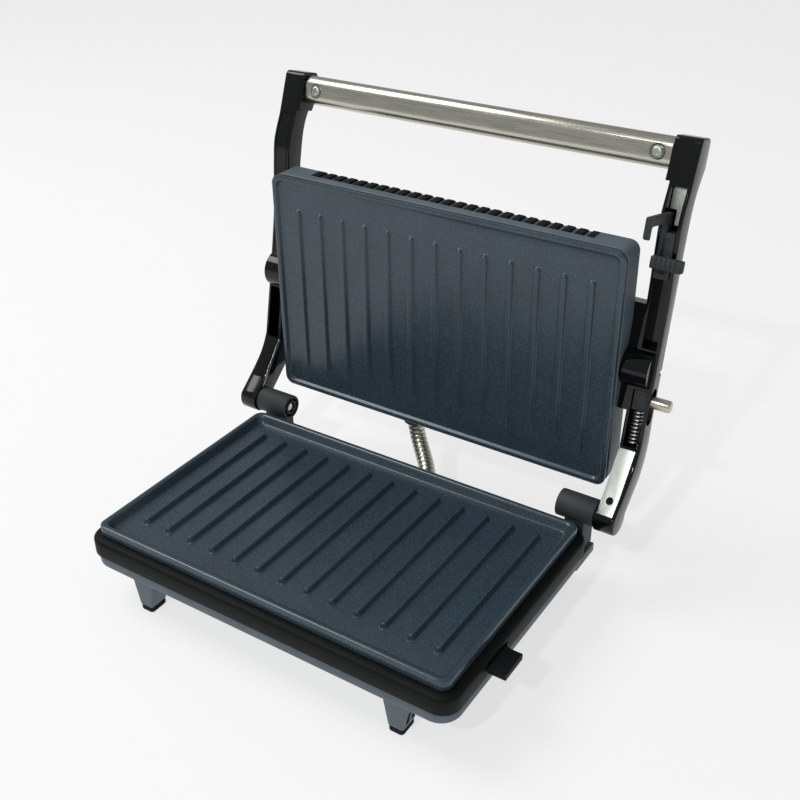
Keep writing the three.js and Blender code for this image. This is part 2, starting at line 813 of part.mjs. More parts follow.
// The strap's leaf lies on the arm's lower edge and is rolled around the hinge pin.
function strapLeaf(grow, x0, x1) {
  const along = new THREE.Vector2(-Math.cos(strapSlope), Math.sin(strapSlope));
  const out = new THREE.Vector2(-Math.sin(strapSlope), -Math.cos(strapSlope));
  const length = Math.hypot(strapClimb, strapLength);
  const corners = [
    [0, strapEye - strapThickness - grow],
    [0, strapEye + grow],
    [length + grow, strapEye + grow],
    [length + grow, strapEye - strapThickness - grow],
  ];
  const points = corners.map(([s, d]) => along.clone().multiplyScalar(s).addScaledVector(out, d));
  return alongX(new THREE.Shape(points), x0, x1);
}

function hingeStrap() {
  const leaf = strapLeaf(0, armInner + clearance, armOuter - armSkin - clearance);
  const eye = barX(strapEye, armInner + clearance, armOuter - armSkin - clearance, 0, 0, 28);
  const bore = barX(hingePinRadius + pinFit, armInner - 1, armOuter, 0, 0);
  const hole = barZ(2, -20, 20, (armInner + armOuter - armSkin) / 2, -15, 14);
  return cut(join(leaf, eye), bore, hole);
}

place(arms, "hinge_strap_right", hingeStrap(), satinSteel);
place(arms, "hinge_strap_left", mirrored(hingeStrap()), satinSteel);

// A bay is open below and keeps a skin under the arm's upper edge.
function bay(from, to) {
  const cavity = alongX(armOutline(), channelInner, channelOuter).translate(0, 0, -armSkin);
  const open = alongX(armOutline(), channelInner, channelOuter).translate(0, 0, -9);
  const both = join(cavity, open);
  return common(both, block(channelInner - 1, channelOuter + 1, -to, -from, -40, 60));
}

const strapRoom = [
  strapLeaf(clearance, armInner - 1, channelOuter),
  barX(strapEye + clearance, armInner - 1, channelOuter, 0, 0, 28),
];

function armShell() {
  const body = alongX(armOutline(), armInner, armOuter, 0.9);
  const hub = barX(hubRadius, hubInner, channelOuter, -pivotReach, pivotRise, 40);
  const thick = armStretch(pivotReach - hubTail, pivotReach + hubSpread, hubInner, armInner + 3);
  const end = armStretch(handleReach - 13, armEnd + 1, tubeEnd + clearance, armInner + 3);
  const tongue = alongX(
    roundedRect(
      handleWidth - 2 * (handleWall + clearance),
      handleThickness - 2 * (handleWall + clearance),
      3,
    ),
    tubeEnd - tongueLength,
    tubeEnd + 2,
  ).translate(0, -handleReach, handleRise);
  const boreEnd = channelOuter - clearance;
  const bore = barX(pivotPinRadius + pinFit, hubInner - 1, boreEnd, -pivotReach, pivotRise);
  const recess = barX(recessRadius, armOuter - recessDepth, armOuter + 1, -recessReach, recessRise, 16);
  const screwHoleTop = handleRise + tubeBottom + screwSink + screwGrip + 1.8;
  const screwHole = barZ(screwRadius + clearance, 0, screwHoleTop, screwX, -handleReach, 14);
  const solid = join(body, hub, thick, end, tongue);
  const bays = [bay(bayStart, bayEnd), bay(trackStart, trackEnd)];
  return cut(solid, ...bays, ...strapRoom, bore, recess, screwHole);
}

// The release pin's slot, as long as its travel needs.
const releaseReach = bayEnd - clearance - catchLength / 2;
const slotHalf = releasePinRadius + 0.4;
function releaseSlot() {
  const near = releaseReach - releaseTravel;
  const far = releaseReach + 4;
  const shape = new THREE.Shape();
  shape.absarc(-near, releaseRise, slotHalf, -Math.PI / 2, Math.PI / 2);
  shape.absarc(-far, releaseRise, slotHalf, Math.PI / 2, Math.PI * 1.5);
  shape.closePath();
  return alongX(shape, channelOuter - 1, armOuter + 1);
}

place(arms, "arm_shell_right", cut(armShell(), releaseSlot()), armPlastic);
place(arms, "arm_shell_left", mirrored(armShell()), armPlastic);

// The left arm's channel is closed from below by a strip between its walls.
function coverStrip(from, to) {
  const strip = alongX(armOutline(), channelInner + clearance, channelOuter - clearance);
  const above = alongX(armOutline(), channelInner, channelOuter).translate(0, 0, 1.6);
  return common(
    cut(strip, above),
    block(channelInner, channelOuter, -to, -from, -40, handleRise - 4),
  );
}

const cover = coverStrip(trackStart + clearance, trackEnd - clearance);
place(arms, "arm_cover_left", mirrored(cover), armPlastic);

// The handle: an oval tube over the arms' tongues, held by a screw at each end.
const handleOuter = alongX(roundedRect(handleWidth, handleThickness, 5.6), -tubeEnd, tubeEnd);
const handleInner = alongX(
  roundedRect(handleWidth - 2 * handleWall, handleThickness - 2 * handleWall, 3.6),
  -tubeEnd - 1,
  tubeEnd + 1,
);
const handleCuts = [];
for (const x of [-screwX, screwX]) {
  handleCuts.push(barZ(screwHeadRadius + 0.8, tubeBottom - 1, tubeBottom + screwSink, x, 0));
  handleCuts.push(barZ(screwRadius + clearance, tubeBottom - 1, 0, x, 0, 14));
}
const handle = cut(handleOuter, handleInner, ...handleCuts);
place(arms, "handle_tube", handle.translate(0, -handleReach, handleRise), brushedSteel);

function handleScrew(x) {
  const profile = [
    [0, 0],
    [screwHeadRadius - 0.8, 0],
    [screwHeadRadius, 0.6],
    [screwHeadRadius, screwHeadHeight],
    [screwRadius, screwHeadHeight],
    [screwRadius, screwHeadHeight + screwGrip],
    [0, screwHeadHeight + screwGrip],
  ];
  const points = profile.map(([radius, z]) => new THREE.Vector2(radius, z));
  const screw = new THREE.LatheGeometry(points, 20).rotateX(Math.PI / 2);
  const seat = handleRise + tubeBottom + screwSink - clearance - screwHeadHeight;
  return screw.translate(x, -handleReach, seat);
}

place(arms, "handle_screw_right", handleScrew(screwX), satinSteel);
place(arms, "handle_screw_left", handleScrew(-screwX), satinSteel);

// ---- Latch in the right arm ----------------------------------------------------------------

const lugNear = hinge.x - lugFront; // lug's front end, from the hinge
const hookReach = lugNear + latchTravel + 0.8; // hook's hinge-side face when unlatched
const clawTop = -lugDrop - lugThickness - hinge.y - hookClear;
const railBottom = armBelly;
const railX0 = channelInner + clearance;
const railX1 = channelOuter - clearance;
const hookX1 = railX0 + hookThickness;
const railStart = trackStart + latchTravel + 1;
const railEnd = hookReach - 5;

const slider = join(
  block(railX0, railX1, -railEnd, -railStart, railBottom, railTop),
  block(railX0, hookX1, -hookReach - hookDepth, -railEnd + 1, railBottom, railTop - 3),
  block(railX0, hookX1, -hookReach - hookDepth, -hookReach, clawTop - clawHeight, railTop - 3),
  block(railX0, hookX1, -hookReach - hookDepth, -hookReach + clawLength, clawTop - clawHeight, clawTop),
);
place(arms, "latch_hook", slider, mattePlastic);

const thumbReach = hookReach - thumbFromHook;
const thumbTop = railBottom - clearance;
const thumbX0 = armInner + 1;
const thumb = slab(thumbWidth, thumbHeight, 1, thumbTop - thumbThickness, thumbTop, 0.6, 1);
place(
  arms,
  "latch_thumb_bar",
  thumb.translate(thumbX0 + thumbWidth / 2, -thumbReach - thumbHeight / 2, 0),
  mattePlastic,
);

// The steel liner in the channel beyond the hook, notched where the hook comes out.
const linerStart = railEnd + 3;
const linerBottom = 12.3;
const liner = cut(
  block(railX0, railX1, -trackEnd + clearance, -linerStart, linerBottom, linerBottom + strapThickness),
  block(railX0 - 1, hookX1 + 1, -hookReach - hookDepth - 1.5, -linerStart + 1, 0, 30),
);
place(arms, "latch_liner", liner, satinSteel);

// ---- Release pin in the right arm ----------------------------------------------------------

const catchEnd = releaseReach + catchLength / 2;
const catchStart = releaseReach - catchLength / 2;
const catchBlock = block(railX0, railX1, -catchEnd, -catchStart, releaseRise - 3.6, releaseRise + 3.6);
place(arms, "release_catch", catchBlock, mattePlastic);
const releasePin = turnedX(
  [
    [railX1 + clearance, 0],
    [railX1 + clearance, releasePinRadius],
    [armOuter + releasePinOut - 0.8, releasePinRadius],
    [armOuter + releasePinOut, releasePinRadius - 0.8],
    [armOuter + releasePinOut, 0],
  ],
  -releaseReach,
  releaseRise,
);
place(arms, "release_pin", releasePin, brushedSteel);
const springStart = bayStart + clearance;
const springLength = catchStart - clearance - springStart;
const spring = ring(springRadius - springWire, springRadius, springLength, 16)
  .rotateX(Math.PI / 2)
  .translate((railX0 + railX1) / 2, -springStart, releaseRise);
place(arms, "release_spring", spring, satinSteel);

// ---- Centre the whole press over the origin ------------------------------------------------

group.updateMatrixWorld(true);
const bounds = new THREE.Box3().setFromObject(group, true);
const middle = bounds.getCenter(new THREE.Vector3());
press.position.x -= middle.x;
press.position.y -= middle.y;
press.position.z -= bounds.min.z;

export default group;
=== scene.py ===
# %% [markdown]
# # A contact grill, standing open
# The press comes from the CAD frame as plain solids. This notebook gives each visible piece its fine shape
# (rounded edges, drafts, ribs, pressed dimples) and each finish its own procedural material.
# Everything is in metres. Three places are used for drawing: the base is drawn from the plate's rim, the arms
# from the hinge axis and the lid from its pivot, both as if the press were closed.

# %% Load the frame
import json
import math

import bmesh
import bpy
from mathutils import Matrix, Vector


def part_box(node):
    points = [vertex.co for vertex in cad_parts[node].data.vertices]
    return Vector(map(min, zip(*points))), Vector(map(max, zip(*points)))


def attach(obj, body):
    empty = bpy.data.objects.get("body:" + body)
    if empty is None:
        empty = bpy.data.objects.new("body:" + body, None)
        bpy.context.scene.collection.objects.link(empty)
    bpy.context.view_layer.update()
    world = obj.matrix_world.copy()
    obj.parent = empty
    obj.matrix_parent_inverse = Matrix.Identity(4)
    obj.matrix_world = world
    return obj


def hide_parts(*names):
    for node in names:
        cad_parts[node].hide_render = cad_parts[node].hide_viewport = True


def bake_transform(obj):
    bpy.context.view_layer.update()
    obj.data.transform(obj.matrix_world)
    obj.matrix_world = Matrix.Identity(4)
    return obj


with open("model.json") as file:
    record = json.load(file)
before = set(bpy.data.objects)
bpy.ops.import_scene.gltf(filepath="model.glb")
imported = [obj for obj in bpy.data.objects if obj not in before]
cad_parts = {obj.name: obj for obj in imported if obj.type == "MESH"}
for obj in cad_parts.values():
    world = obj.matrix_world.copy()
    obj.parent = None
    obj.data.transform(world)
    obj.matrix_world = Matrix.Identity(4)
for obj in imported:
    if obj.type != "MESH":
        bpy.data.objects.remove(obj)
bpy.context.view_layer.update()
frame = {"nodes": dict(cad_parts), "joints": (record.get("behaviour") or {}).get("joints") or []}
mm = 0.001
joints = {joint["name"]: joint for joint in frame["joints"]}
print("nodes:", len(frame["nodes"]), "joints:", sorted(joints))

# %% Places to draw in
# Neighbouring pieces keep this gap.
gap = 0.3 * mm
plate_low, plate_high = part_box("lower_grill_plate")
plate_width = plate_high.x - plate_low.x
plate_depth = plate_high.y - plate_low.y
hinge = Vector(joints["arm_hinge"]["pos_m"])
pivot = Vector(joints["lid_float"]["pos_m"])
close_angle = math.radians(joints["arm_hinge"]["range_deg"][1])
rim_middle = Vector((hinge.x, (plate_low.y + plate_high.y) / 2, plate_high.z))
AT_BASE = Matrix.Translation(rim_middle)
AT_ARMS = Matrix.Translation(hinge) @ Matrix.Rotation(-close_angle, 4, "X")
AT_LID = Matrix.Translation(pivot) @ Matrix.Rotation(-math.pi / 2, 4, "X")


def span(node, place):
    """Lowest and highest corner of a CAD node, seen from one of the drawing places."""
    back = place.inverted()
    points = [back @ vertex.co for vertex in frame["nodes"][node].data.vertices]
    return Vector(map(min, zip(*points))), Vector(map(max, zip(*points)))


print("plate", round(plate_width / mm), "x", round(plate_depth / mm), "mm")

# %% [markdown]
# ## Camera
# The camera stands in front and to the right, about as high as a person leaning over a worktop. It is made
# first, so that everything after it can be judged through the same lens.

# %% Camera
CAMERA_PLACE = Vector((0.29905, -0.43641, 0.43040))
CAMERA_AZIMUTH = math.radians(33.41)
CAMERA_ELEVATION = math.radians(31.02)
CAMERA_ROLL = math.radians(-0.81)
camera_data = bpy.data.cameras.new("camera")
camera_data.lens = 50.03
camera_data.sensor_width = 36.0
camera_data.clip_start = 0.01
camera = bpy.data.objects.new("camera", camera_data)
bpy.context.scene.collection.objects.link(camera)
backwards = Vector(
    (
        math.sin(CAMERA_AZIMUTH) * math.cos(CAMERA_ELEVATION),
        -math.cos(CAMERA_AZIMUTH) * math.cos(CAMERA_ELEVATION),
        math.sin(CAMERA_ELEVATION),
    )
)
aim = (-backwards).to_track_quat("-Z", "Y").to_matrix().to_4x4()
camera.matrix_world = Matrix.Translation(CAMERA_PLACE) @ aim @ Matrix.Rotation(CAMERA_ROLL, 4, "Z")
bpy.context.scene.camera = camera

# %% [markdown]
# ## Helpers for meshes
# Most pieces here are moulded or cast: a section that changes from level to level, or an outline with some
# thickness. Two builders cover them. `loft` skins a row of rings with the same number of points, and `prism`
# gives an outline thickness with rounded edges. Both make one closed mesh with its faces out.


# %% Objects and shading
def shade(mesh, sharp_angle=32):
    """Smooth shading, with the edges over an angle kept sharp."""
    work = bmesh.new()
    work.from_mesh(mesh)
    for face in work.faces:
        face.smooth = True
    for edge in work.edges:
        edge.smooth = edge.calc_face_angle(0) < math.radians(sharp_angle)
    work.to_mesh(mesh)
    work.free()


def add_piece(name, points, faces, place=Matrix()):
    """A mesh object from points and faces, drawn at one of the places and closed with its faces out."""
    mesh = bpy.data.meshes.new(name)
    mesh.from_pydata([place @ Vector(point) for point in points], [], faces)
    work = bmesh.new()
    work.from_mesh(mesh)
    bmesh.ops.remove_doubles(work, verts=work.verts, dist=0.002 * mm)
    bmesh.ops.recalc_face_normals(work, faces=work.faces)
    work.to_mesh(mesh)
    work.free()
    shade(mesh)
    piece = bpy.data.objects.new(name, mesh)
    bpy.context.scene.collection.objects.link(piece)
    return piece


def bake(piece):
    """Turns the piece with its modifiers into a plain mesh."""
    depsgraph = bpy.context.evaluated_depsgraph_get()
    mesh = bpy.data.meshes.new_from_object(piece.evaluated_get(depsgraph))
    piece.modifiers.clear()
    piece.data = mesh
    return piece


# %% Loft
def loft(name, rings, place=Matrix(), closed=False):
    """Skins rings of points, one after another. An open row gets a flat face at each end."""
    count = len(rings[0])
    points = [point for ring in rings for point in ring]
    faces = []
    steps = len(rings) if closed else len(rings) - 1
    for i in range(steps):
        a = i * count
        b = (i + 1) % len(rings) * count
        for k in range(count):
            m = (k + 1) % count
            faces.append((a + k, a + m, b + m, b + k))
    if not closed:
        faces.append(tuple(range(count)))
        faces.append(tuple(range((len(rings) - 1) * count, len(rings) * count)))
    return add_piece(name, points, faces, place)


def round_rect(half_width, half_depth, corner, z, steps=8):
    """A level ring with round corners."""
    ring = []
    for quarter in range(4):
        turn = quarter * math.pi / 2
        x = (half_width - corner) * (1 if quarter in (0, 3) else -1)
        y = (half_depth - corner) * (1 if quarter in (0, 1) else -1)
        for k in range(steps + 1):
            angle = turn + k / steps * math.pi / 2
            ring.append((x + corner * math.cos(angle), y + corner * math.sin(angle), z))
    return ring


def circle_x(radius, x, y, z, sides=48):
    """A ring about a line along X."""
    angles = [2 * math.pi * k / sides for k in range(sides)]
    return [(x, y + radius * math.cos(angle), z + radius * math.sin(angle)) for angle in angles]


def turned(name, profile, y, z, place=Matrix(), sides=48):
    """A piece turned about a line along X, from pairs of x and radius. A profile may meet itself."""
    rings = [circle_x(max(radius, 0.02 * mm), x, y, z, sides) for x, radius in profile]
    closed = profile[0] == profile[-1]
    return loft(name, rings[:-1] if closed else rings, place, closed)


def standing(place, x, y, z=0.0):
    """A place whose X axis points up, for turned pieces that stand."""
    return place @ Matrix.Translation((x, y, z)) @ Matrix.Rotation(-math.pi / 2, 4, "Y")


def section_rings(half_width, half_depth, corner, section, base=0.0, steps=8, lean=1.0, least=0.0):
    """Level rings from pairs of inset and height in millimetres. Corners shrink by the inset times lean."""
    rings = []
    for inset, height in section:
        inwards = inset * mm
        ring_corner = max(corner - lean * inwards, least)
        z = base + height * mm
        rings.append(round_rect(half_width - inwards, half_depth - inwards, ring_corner, z, steps))
    return rings


# %% Outlines
def spline(points, steps=8):
    """A smooth line through points, as pairs."""
    padded = [points[0], *points, points[-1]]
    line = []
    for i in range(1, len(padded) - 2):
        p0, p1, p2, p3 = (Vector(padded[i + k]) for k in (-1, 0, 1, 2))
        for k in range(steps):
            t = k / steps
            line.append(
                tuple(
                    0.5
                    * (
                        2 * p1
                        + (p2 - p0) * t
                        + (2 * p0 - 5 * p1 + 4 * p2 - p3) * t * t
                        + (3 * p1 - p0 - 3 * p2 + p3) * t**3
                    )
                )
            )
    return [*line, tuple(points[-1])]


def arc(cy, cz, radius, start, end, steps=10):
    """Points on an arc, with its angles in degrees."""
    angles = [math.radians(start + (end - start) * k / steps) for k in range(steps + 1)]
    return [(cy + radius * math.cos(angle), cz + radius * math.sin(angle)) for angle in angles]


def shrunk(outline, distance):
    """The outline moved inwards by a distance. It runs anticlockwise."""
    moved = []
    count = len(outline)
    for i in range(count):
        before = Vector(outline[i]) - Vector(outline[i - 1])
        after = Vector(outline[(i + 1) % count]) - Vector(outline[i])
        before.normalize()
        after.normalize()
        normal = Vector((-before.y - after.y, before.x + after.x))
        normal.normalize()
        # At a sharp corner the point moves further, but not more than about three times the distance.
        lean = max(0.35, normal.dot(Vector((-before.y, before.x))))
        moved.append(tuple(Vector(outline[i]) + normal * distance / lean))
    return moved


def area(outline):
    """The area inside, over zero if the outline runs anticlockwise."""
    pairs = zip(outline, outline[1:] + outline[:1])
    return sum(a[0] * b[1] - b[0] * a[1] for a, b in pairs) / 2


def cleaned(outline):
    """The outline anticlockwise, with no point twice."""
    same = 0.02 * mm
    kept = []
    for point in outline:
        if not kept or (Vector(point) - Vector(kept[-1])).length > same:
            kept.append(point)
    if (Vector(kept[0]) - Vector(kept[-1])).length < same:
        kept.pop()
    return kept if area(kept) > 0 else kept[::-1]


def prism(name, outline, x0, x1, place=Matrix(), edge=0.0, steps=3):
    """An outline in y and z, made solid between two values of x, with edges rounded by a radius."""
    outline = cleaned(outline)
    levels = [(x0, 0.0), (x1, 0.0)]
    if edge:
        turns = [k / steps * math.pi / 2 for k in range(steps + 1)]
        rise = [(edge * (1 - math.cos(turn)), edge * (1 - math.sin(turn))) for turn in turns]
        levels = [(x0 + along, inset) for along, inset in rise]
        levels += [(x1 - along, inset) for along, inset in reversed(rise)]
    rings = []
    for x, inset in levels:
        points = shrunk(outline, inset) if inset else outline
        rings.append([(x, y, z) for y, z in points])
    return loft(name, rings, place)


def rect(y0, y1, z0, z1, corner=0.0, steps=4):
    """A rectangle outline with round corners."""
    if not corner:
        return [(y0, z0), (y1, z0), (y1, z1), (y0, z1)]
    return [
        *arc(y1 - corner, z1 - corner, corner, 0, 90, steps),
        *arc(y0 + corner, z1 - corner, corner, 90, 180, steps),
        *arc(y0 + corner, z0 + corner, corner, 180, 270, steps),
        *arc(y1 - corner, z0 + corner, corner, 270, 360, steps),
    ]


def slab(name, low, high, place=Matrix(), corner=0.4 * mm, edge=0.4 * mm):
    """A moulded block between two corners, with all its edges rounded."""
    outline = rect(low[1], high[1], low[2], high[2], corner)
    return prism(name, outline, low[0], high[0], place, edge)


# %% Joining and cutting
def combine(piece, tools, operation):
    """Joins tools to the piece or cuts them from it, and removes them."""
    for tool in tools:
        modifier = piece.modifiers.new("combine", "BOOLEAN")
        modifier.object = tool
        modifier.operation = operation
        modifier.solver = "MANIFOLD"
        bake(piece)
        bpy.data.objects.remove(tool)
    shade(piece.data)
    return piece


def joined(piece, *tools):
    """The piece with the tools added."""
    return combine(piece, tools, "UNION")


def carved(piece, *tools):
    """The piece with the tools taken away."""
    return combine(piece, tools, "DIFFERENCE")


def trimmed(piece, *tools):
    """The part of the piece inside the tools."""
    return combine(piece, tools, "INTERSECT")


def mirror_copy(piece, name):
    """The same piece for the left side."""
    mesh = piece.data.copy()
    flip = Matrix.Translation((2 * hinge.x, 0, 0)) @ Matrix.Diagonal((-1, 1, 1, 1))
    mesh.transform(flip)
    mesh.flip_normals()
    copy = bpy.data.objects.new(name, mesh)
    bpy.context.scene.collection.objects.link(copy)
    return copy


def mirrored(piece, name):
    """The piece on the left side only."""
    copy = mirror_copy(piece, name)
    bpy.data.objects.remove(piece)
    return copy


def hand_in(piece, body, slot, node=None):
    """The piece rides on a body, takes its finish from a slot and may stand for a CAD node."""
    piece.data.materials.clear()
    piece.data.materials.append(finishes[slot])
    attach(piece, body)
    if node:
        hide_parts(node)
    triangles = sum(len(polygon.vertices) - 2 for polygon in piece.data.polygons)
    print(f"{piece.name}: {triangles} triangles on {body}")


def hand_in_pair(right, body, slot, node=None):
    """A right-hand piece and its mirror image on the left side."""
    left = mirror_copy(right, right.name.replace("right", "left"))
    hand_in(right, body, slot, node)
    hand_in(left, body, slot, node and node.replace("right", "left"))


# %% [markdown]
# ## Helpers for node trees
# Geometry and materials are both trees of nodes. One function adds any node: its settings are given by name,
# and its inputs take either a value or the output of another node.


# %% Nodes
def add_node(tree, kind, inputs=None, **settings):
    """Adds a node with its settings. An input is a value or another node's socket."""
    made = tree.nodes.new(kind)
    for name, value in settings.items():
        setattr(made, name, value)
    for key, value in (inputs or {}).items():
        if isinstance(value, bpy.types.NodeSocket):
            tree.links.new(value, made.inputs[key])
        else:
            made.inputs[key].default_value = value
    return made


def arithmetic(tree, operation, *values):
    """One math node, as a socket."""
    made = add_node(tree, "ShaderNodeMath", dict(enumerate(values)), operation=operation)
    return made.outputs[0]


def shape_tree(name, **sizes):
    """A geometry tree with named inputs for its sizes. Whole numbers stay whole."""
    tree = bpy.data.node_groups.new(name, "GeometryNodeTree")
    tree.interface.new_socket("Geometry", in_out="INPUT", socket_type="NodeSocketGeometry")
    for label, value in sizes.items():
        kind = "NodeSocketInt" if isinstance(value, int) else "NodeSocketFloat"
        socket = tree.interface.new_socket(label, in_out="INPUT", socket_type=kind)
        socket.default_value = value
    tree.interface.new_socket("Material", in_out="INPUT", socket_type="NodeSocketMaterial")
    tree.interface.new_socket("Geometry", in_out="OUTPUT", socket_type="NodeSocketGeometry")
    return tree, add_node(tree, "NodeGroupInput").outputs


def end_tree(tree, given, geometry):
    """Every tree ends in real geometry with a material."""
    real = add_node(tree, "GeometryNodeRealizeInstances", {0: geometry})
    inputs = {0: real.outputs[0], "Material": given["Material"]}
    painted = add_node(tree, "GeometryNodeSetMaterial", inputs)
    add_node(tree, "NodeGroupOutput", {0: painted.outputs[0]})


def run_tree(piece, tree, material, **values):
    """Runs a tree on a piece and keeps the result as a plain mesh."""
    modifier = piece.modifiers.new(tree.name, "NODES")
    modifier.node_group = tree
    for item in tree.interface.items_tree:
        if item.in_out == "INPUT" and item.name in values:
            modifier[item.identifier] = values[item.name]
        if item.in_out == "INPUT" and item.name == "Material":
            modifier[item.identifier] = material
    bake(piece)
    shade(piece.data)
    return piece


def moved(piece, place):
    """Takes a piece that was drawn at the origin to its place, in its mesh."""
    piece.data.transform(place)
    return piece


# %% [markdown]
# ## Finishes
# Each finish starts from what the real one is. Its colour is a hex value and its grain a size in millimetres,
# and its roughness and bump follow that grain. Patterns read Object coordinates, which do not slide when the
# press moves, because a piece's place is in its mesh.


# %% Finish helpers
def colour(code):
    """An sRGB hex value as linear red, green, blue and alpha."""
    parts = [int(code[i : i + 2], 16) / 255 for i in (0, 2, 4)]
    linear = [part / 12.92 if part <= 0.04045 else ((part + 0.055) / 1.055) ** 2.4 for part in parts]
    return (*linear, 1.0)


def new_finish(name):
    """A material with its Principled shader."""
    finish = bpy.data.materials.new(name)
    finish.use_nodes = True
    return finish, finish.node_tree, finish.node_tree.nodes["Principled BSDF"]


def grain(tree, size, detail=2.0, stretch=(1, 1, 1), turn=(0, 0, 0)):
    """Noise with features of a size in metres, longer along the axes with a stretch over 1."""
    where = add_node(tree, "ShaderNodeTexCoord").outputs["Object"]
    scale = tuple(1 / factor for factor in stretch)
    mapping = add_node(tree, "ShaderNodeMapping", {"Vector": where, "Scale": scale, "Rotation": turn})
    noise = {"Vector": mapping.outputs[0], "Scale": 1 / size, "Detail": detail, "Roughness": 0.6}
    return add_node(tree, "ShaderNodeTexNoise", noise).outputs["Fac"]


def between(tree, factor, low, high, start=0.3, end=0.7):
    """A number that runs from low to high as the factor runs from start to end."""
    spread = {"Value": factor, "From Min": start, "From Max": end, "To Min": low, "To Max": high}
    return add_node(tree, "ShaderNodeMapRange", spread).outputs[0]


def blend_colours(tree, factor, dark, light):
    """A colour between two hex values."""
    made = add_node(tree, "ShaderNodeMix", data_type="RGBA")
    tree.links.new(factor, made.inputs["Factor"])
    made.inputs[6].default_value = colour(dark)
    made.inputs[7].default_value = colour(light)
    return made.outputs[2]


def paint(tree, shader, factor, dark, light, start=0.3, end=0.7):
    """Sets the base colour, from dark to light as the factor runs from start to end."""
    tone = blend_colours(tree, between(tree, factor, 0, 1, start, end), dark, light)
    tree.links.new(tone, shader.inputs["Base Color"])


def roughen(tree, shader, factor, low, high, start=0.3, end=0.7):
    """Sets the roughness, from low to high as the factor runs from start to end."""
    tree.links.new(between(tree, factor, low, high, start, end), shader.inputs["Roughness"])


def bump(tree, shader, height, depth, strength=1.0):
    """Roughens the surface by a height pattern with a depth in metres."""
    made = add_node(tree, "ShaderNodeBump", {"Height": height, "Distance": depth, "Strength": strength})
    tree.links.new(made.outputs[0], shader.inputs["Normal"])


# %% Cooking surface
def non_stick_coating():
    """Cast aluminium with a dark slate non-stick coat: fine pale flakes and an orange-peel skin."""
    finish, tree, shader = new_finish("non_stick_coating")
    flakes = grain(tree, 0.5 * mm, 2.0)
    cloud = grain(tree, 30 * mm, 2.0)
    speckle = between(tree, flakes, 0.0, 1.0, 0.5, 0.85)
    base = blend_colours(tree, speckle, "2D3C46", "566974")
    tone = blend_colours(tree, between(tree, cloud, 0, 1), "E6E8EA", "FFFFFF")
    mixed = add_node(tree, "ShaderNodeMix", data_type="RGBA", blend_type="MULTIPLY")
    mixed.inputs["Factor"].default_value = 1.0
    tree.links.new(base, mixed.inputs[6])
    tree.links.new(tone, mixed.inputs[7])
    tree.links.new(mixed.outputs[2], shader.inputs["Base Color"])
    roughen(tree, shader, flakes, 0.23, 0.31)
    shader.inputs["Metallic"].default_value = 0.1
    shader.inputs["IOR"].default_value = 1.55
    bump(tree, shader, grain(tree, 0.8 * mm, 2.0), 0.02 * mm, 0.5)
    return finish


# %% Plastics
def moulded_plastic(name, dark, light, roughness, texture, depth, specular=0.5):
    """Moulded plastic with a spark-eroded grain of a size, and a faint change of tone."""
    finish, tree, shader = new_finish(name)
    tone = grain(tree, 18 * mm, 2.0)
    paint(tree, shader, tone, dark, light)
    fine = grain(tree, texture, 3.0)
    roughen(tree, shader, fine, roughness - 0.05, roughness + 0.07)
    shader.inputs["IOR"].default_value = 1.5
    shader.inputs["Specular IOR Level"].default_value = specular
    bump(tree, shader, fine, depth, 0.5)
    return finish


def gloss_abs():
    """Polished black ABS: nearly a mirror, with faint sink ripples and a few hairline scratches."""
    finish, tree, shader = new_finish("gloss_black_abs")
    tone = grain(tree, 30 * mm, 1.0)
    paint(tree, shader, tone, "040505", "080A0B")
    scuff = grain(tree, 0.5 * mm, 4.0, stretch=(1, 1, 14))
    roughen(tree, shader, scuff, 0.07, 0.17, 0.4, 0.75)
    shader.inputs["IOR"].default_value = 1.52
    shader.inputs["Specular IOR Level"].default_value = 0.32
    bump(tree, shader, grain(tree, 9 * mm, 1.0), 0.05 * mm, 0.35)
    return finish


# %% Metals
def metal(name, dark, light, roughness, streak, stretch, depth, turn=(0, 0, 0)):
    """Metal with streaks of a width, drawn out along the axes with a stretch over 1."""
    finish, tree, shader = new_finish(name)
    lines = grain(tree, streak, 4.0, stretch, turn)
    paint(tree, shader, lines, dark, light)
    roughen(tree, shader, lines, roughness - 0.06, roughness + 0.08)
    shader.inputs["Metallic"].default_value = 1.0
    bump(tree, shader, lines, depth, 0.4)
    return finish


# %% Other finishes
def ceramic_body():
    """Steatite insulators: chalky, cream white, with grey specks of the fired clay."""
    finish, tree, shader = new_finish("steatite_ceramic")
    specks = grain(tree, 1.1 * mm, 3.0)
    paint(tree, shader, specks, "DED9CB", "A9A294", 0.55, 0.75)
    roughen(tree, shader, specks, 0.6, 0.8)
    bump(tree, shader, specks, 0.04 * mm)
    return finish


def lamp_lens(name, deep, bright):
    """Tinted clear plastic over a lamp: glossy, with a moulded grain under the skin."""
    finish, tree, shader = new_finish(name)
    inside = grain(tree, 1.6 * mm, 1.0)
    paint(tree, shader, inside, deep, bright)
    roughen(tree, shader, inside, 0.05, 0.12)
    shader.inputs["Coat Weight"].default_value = 0.6
    shader.inputs["IOR"].default_value = 1.49
    return finish


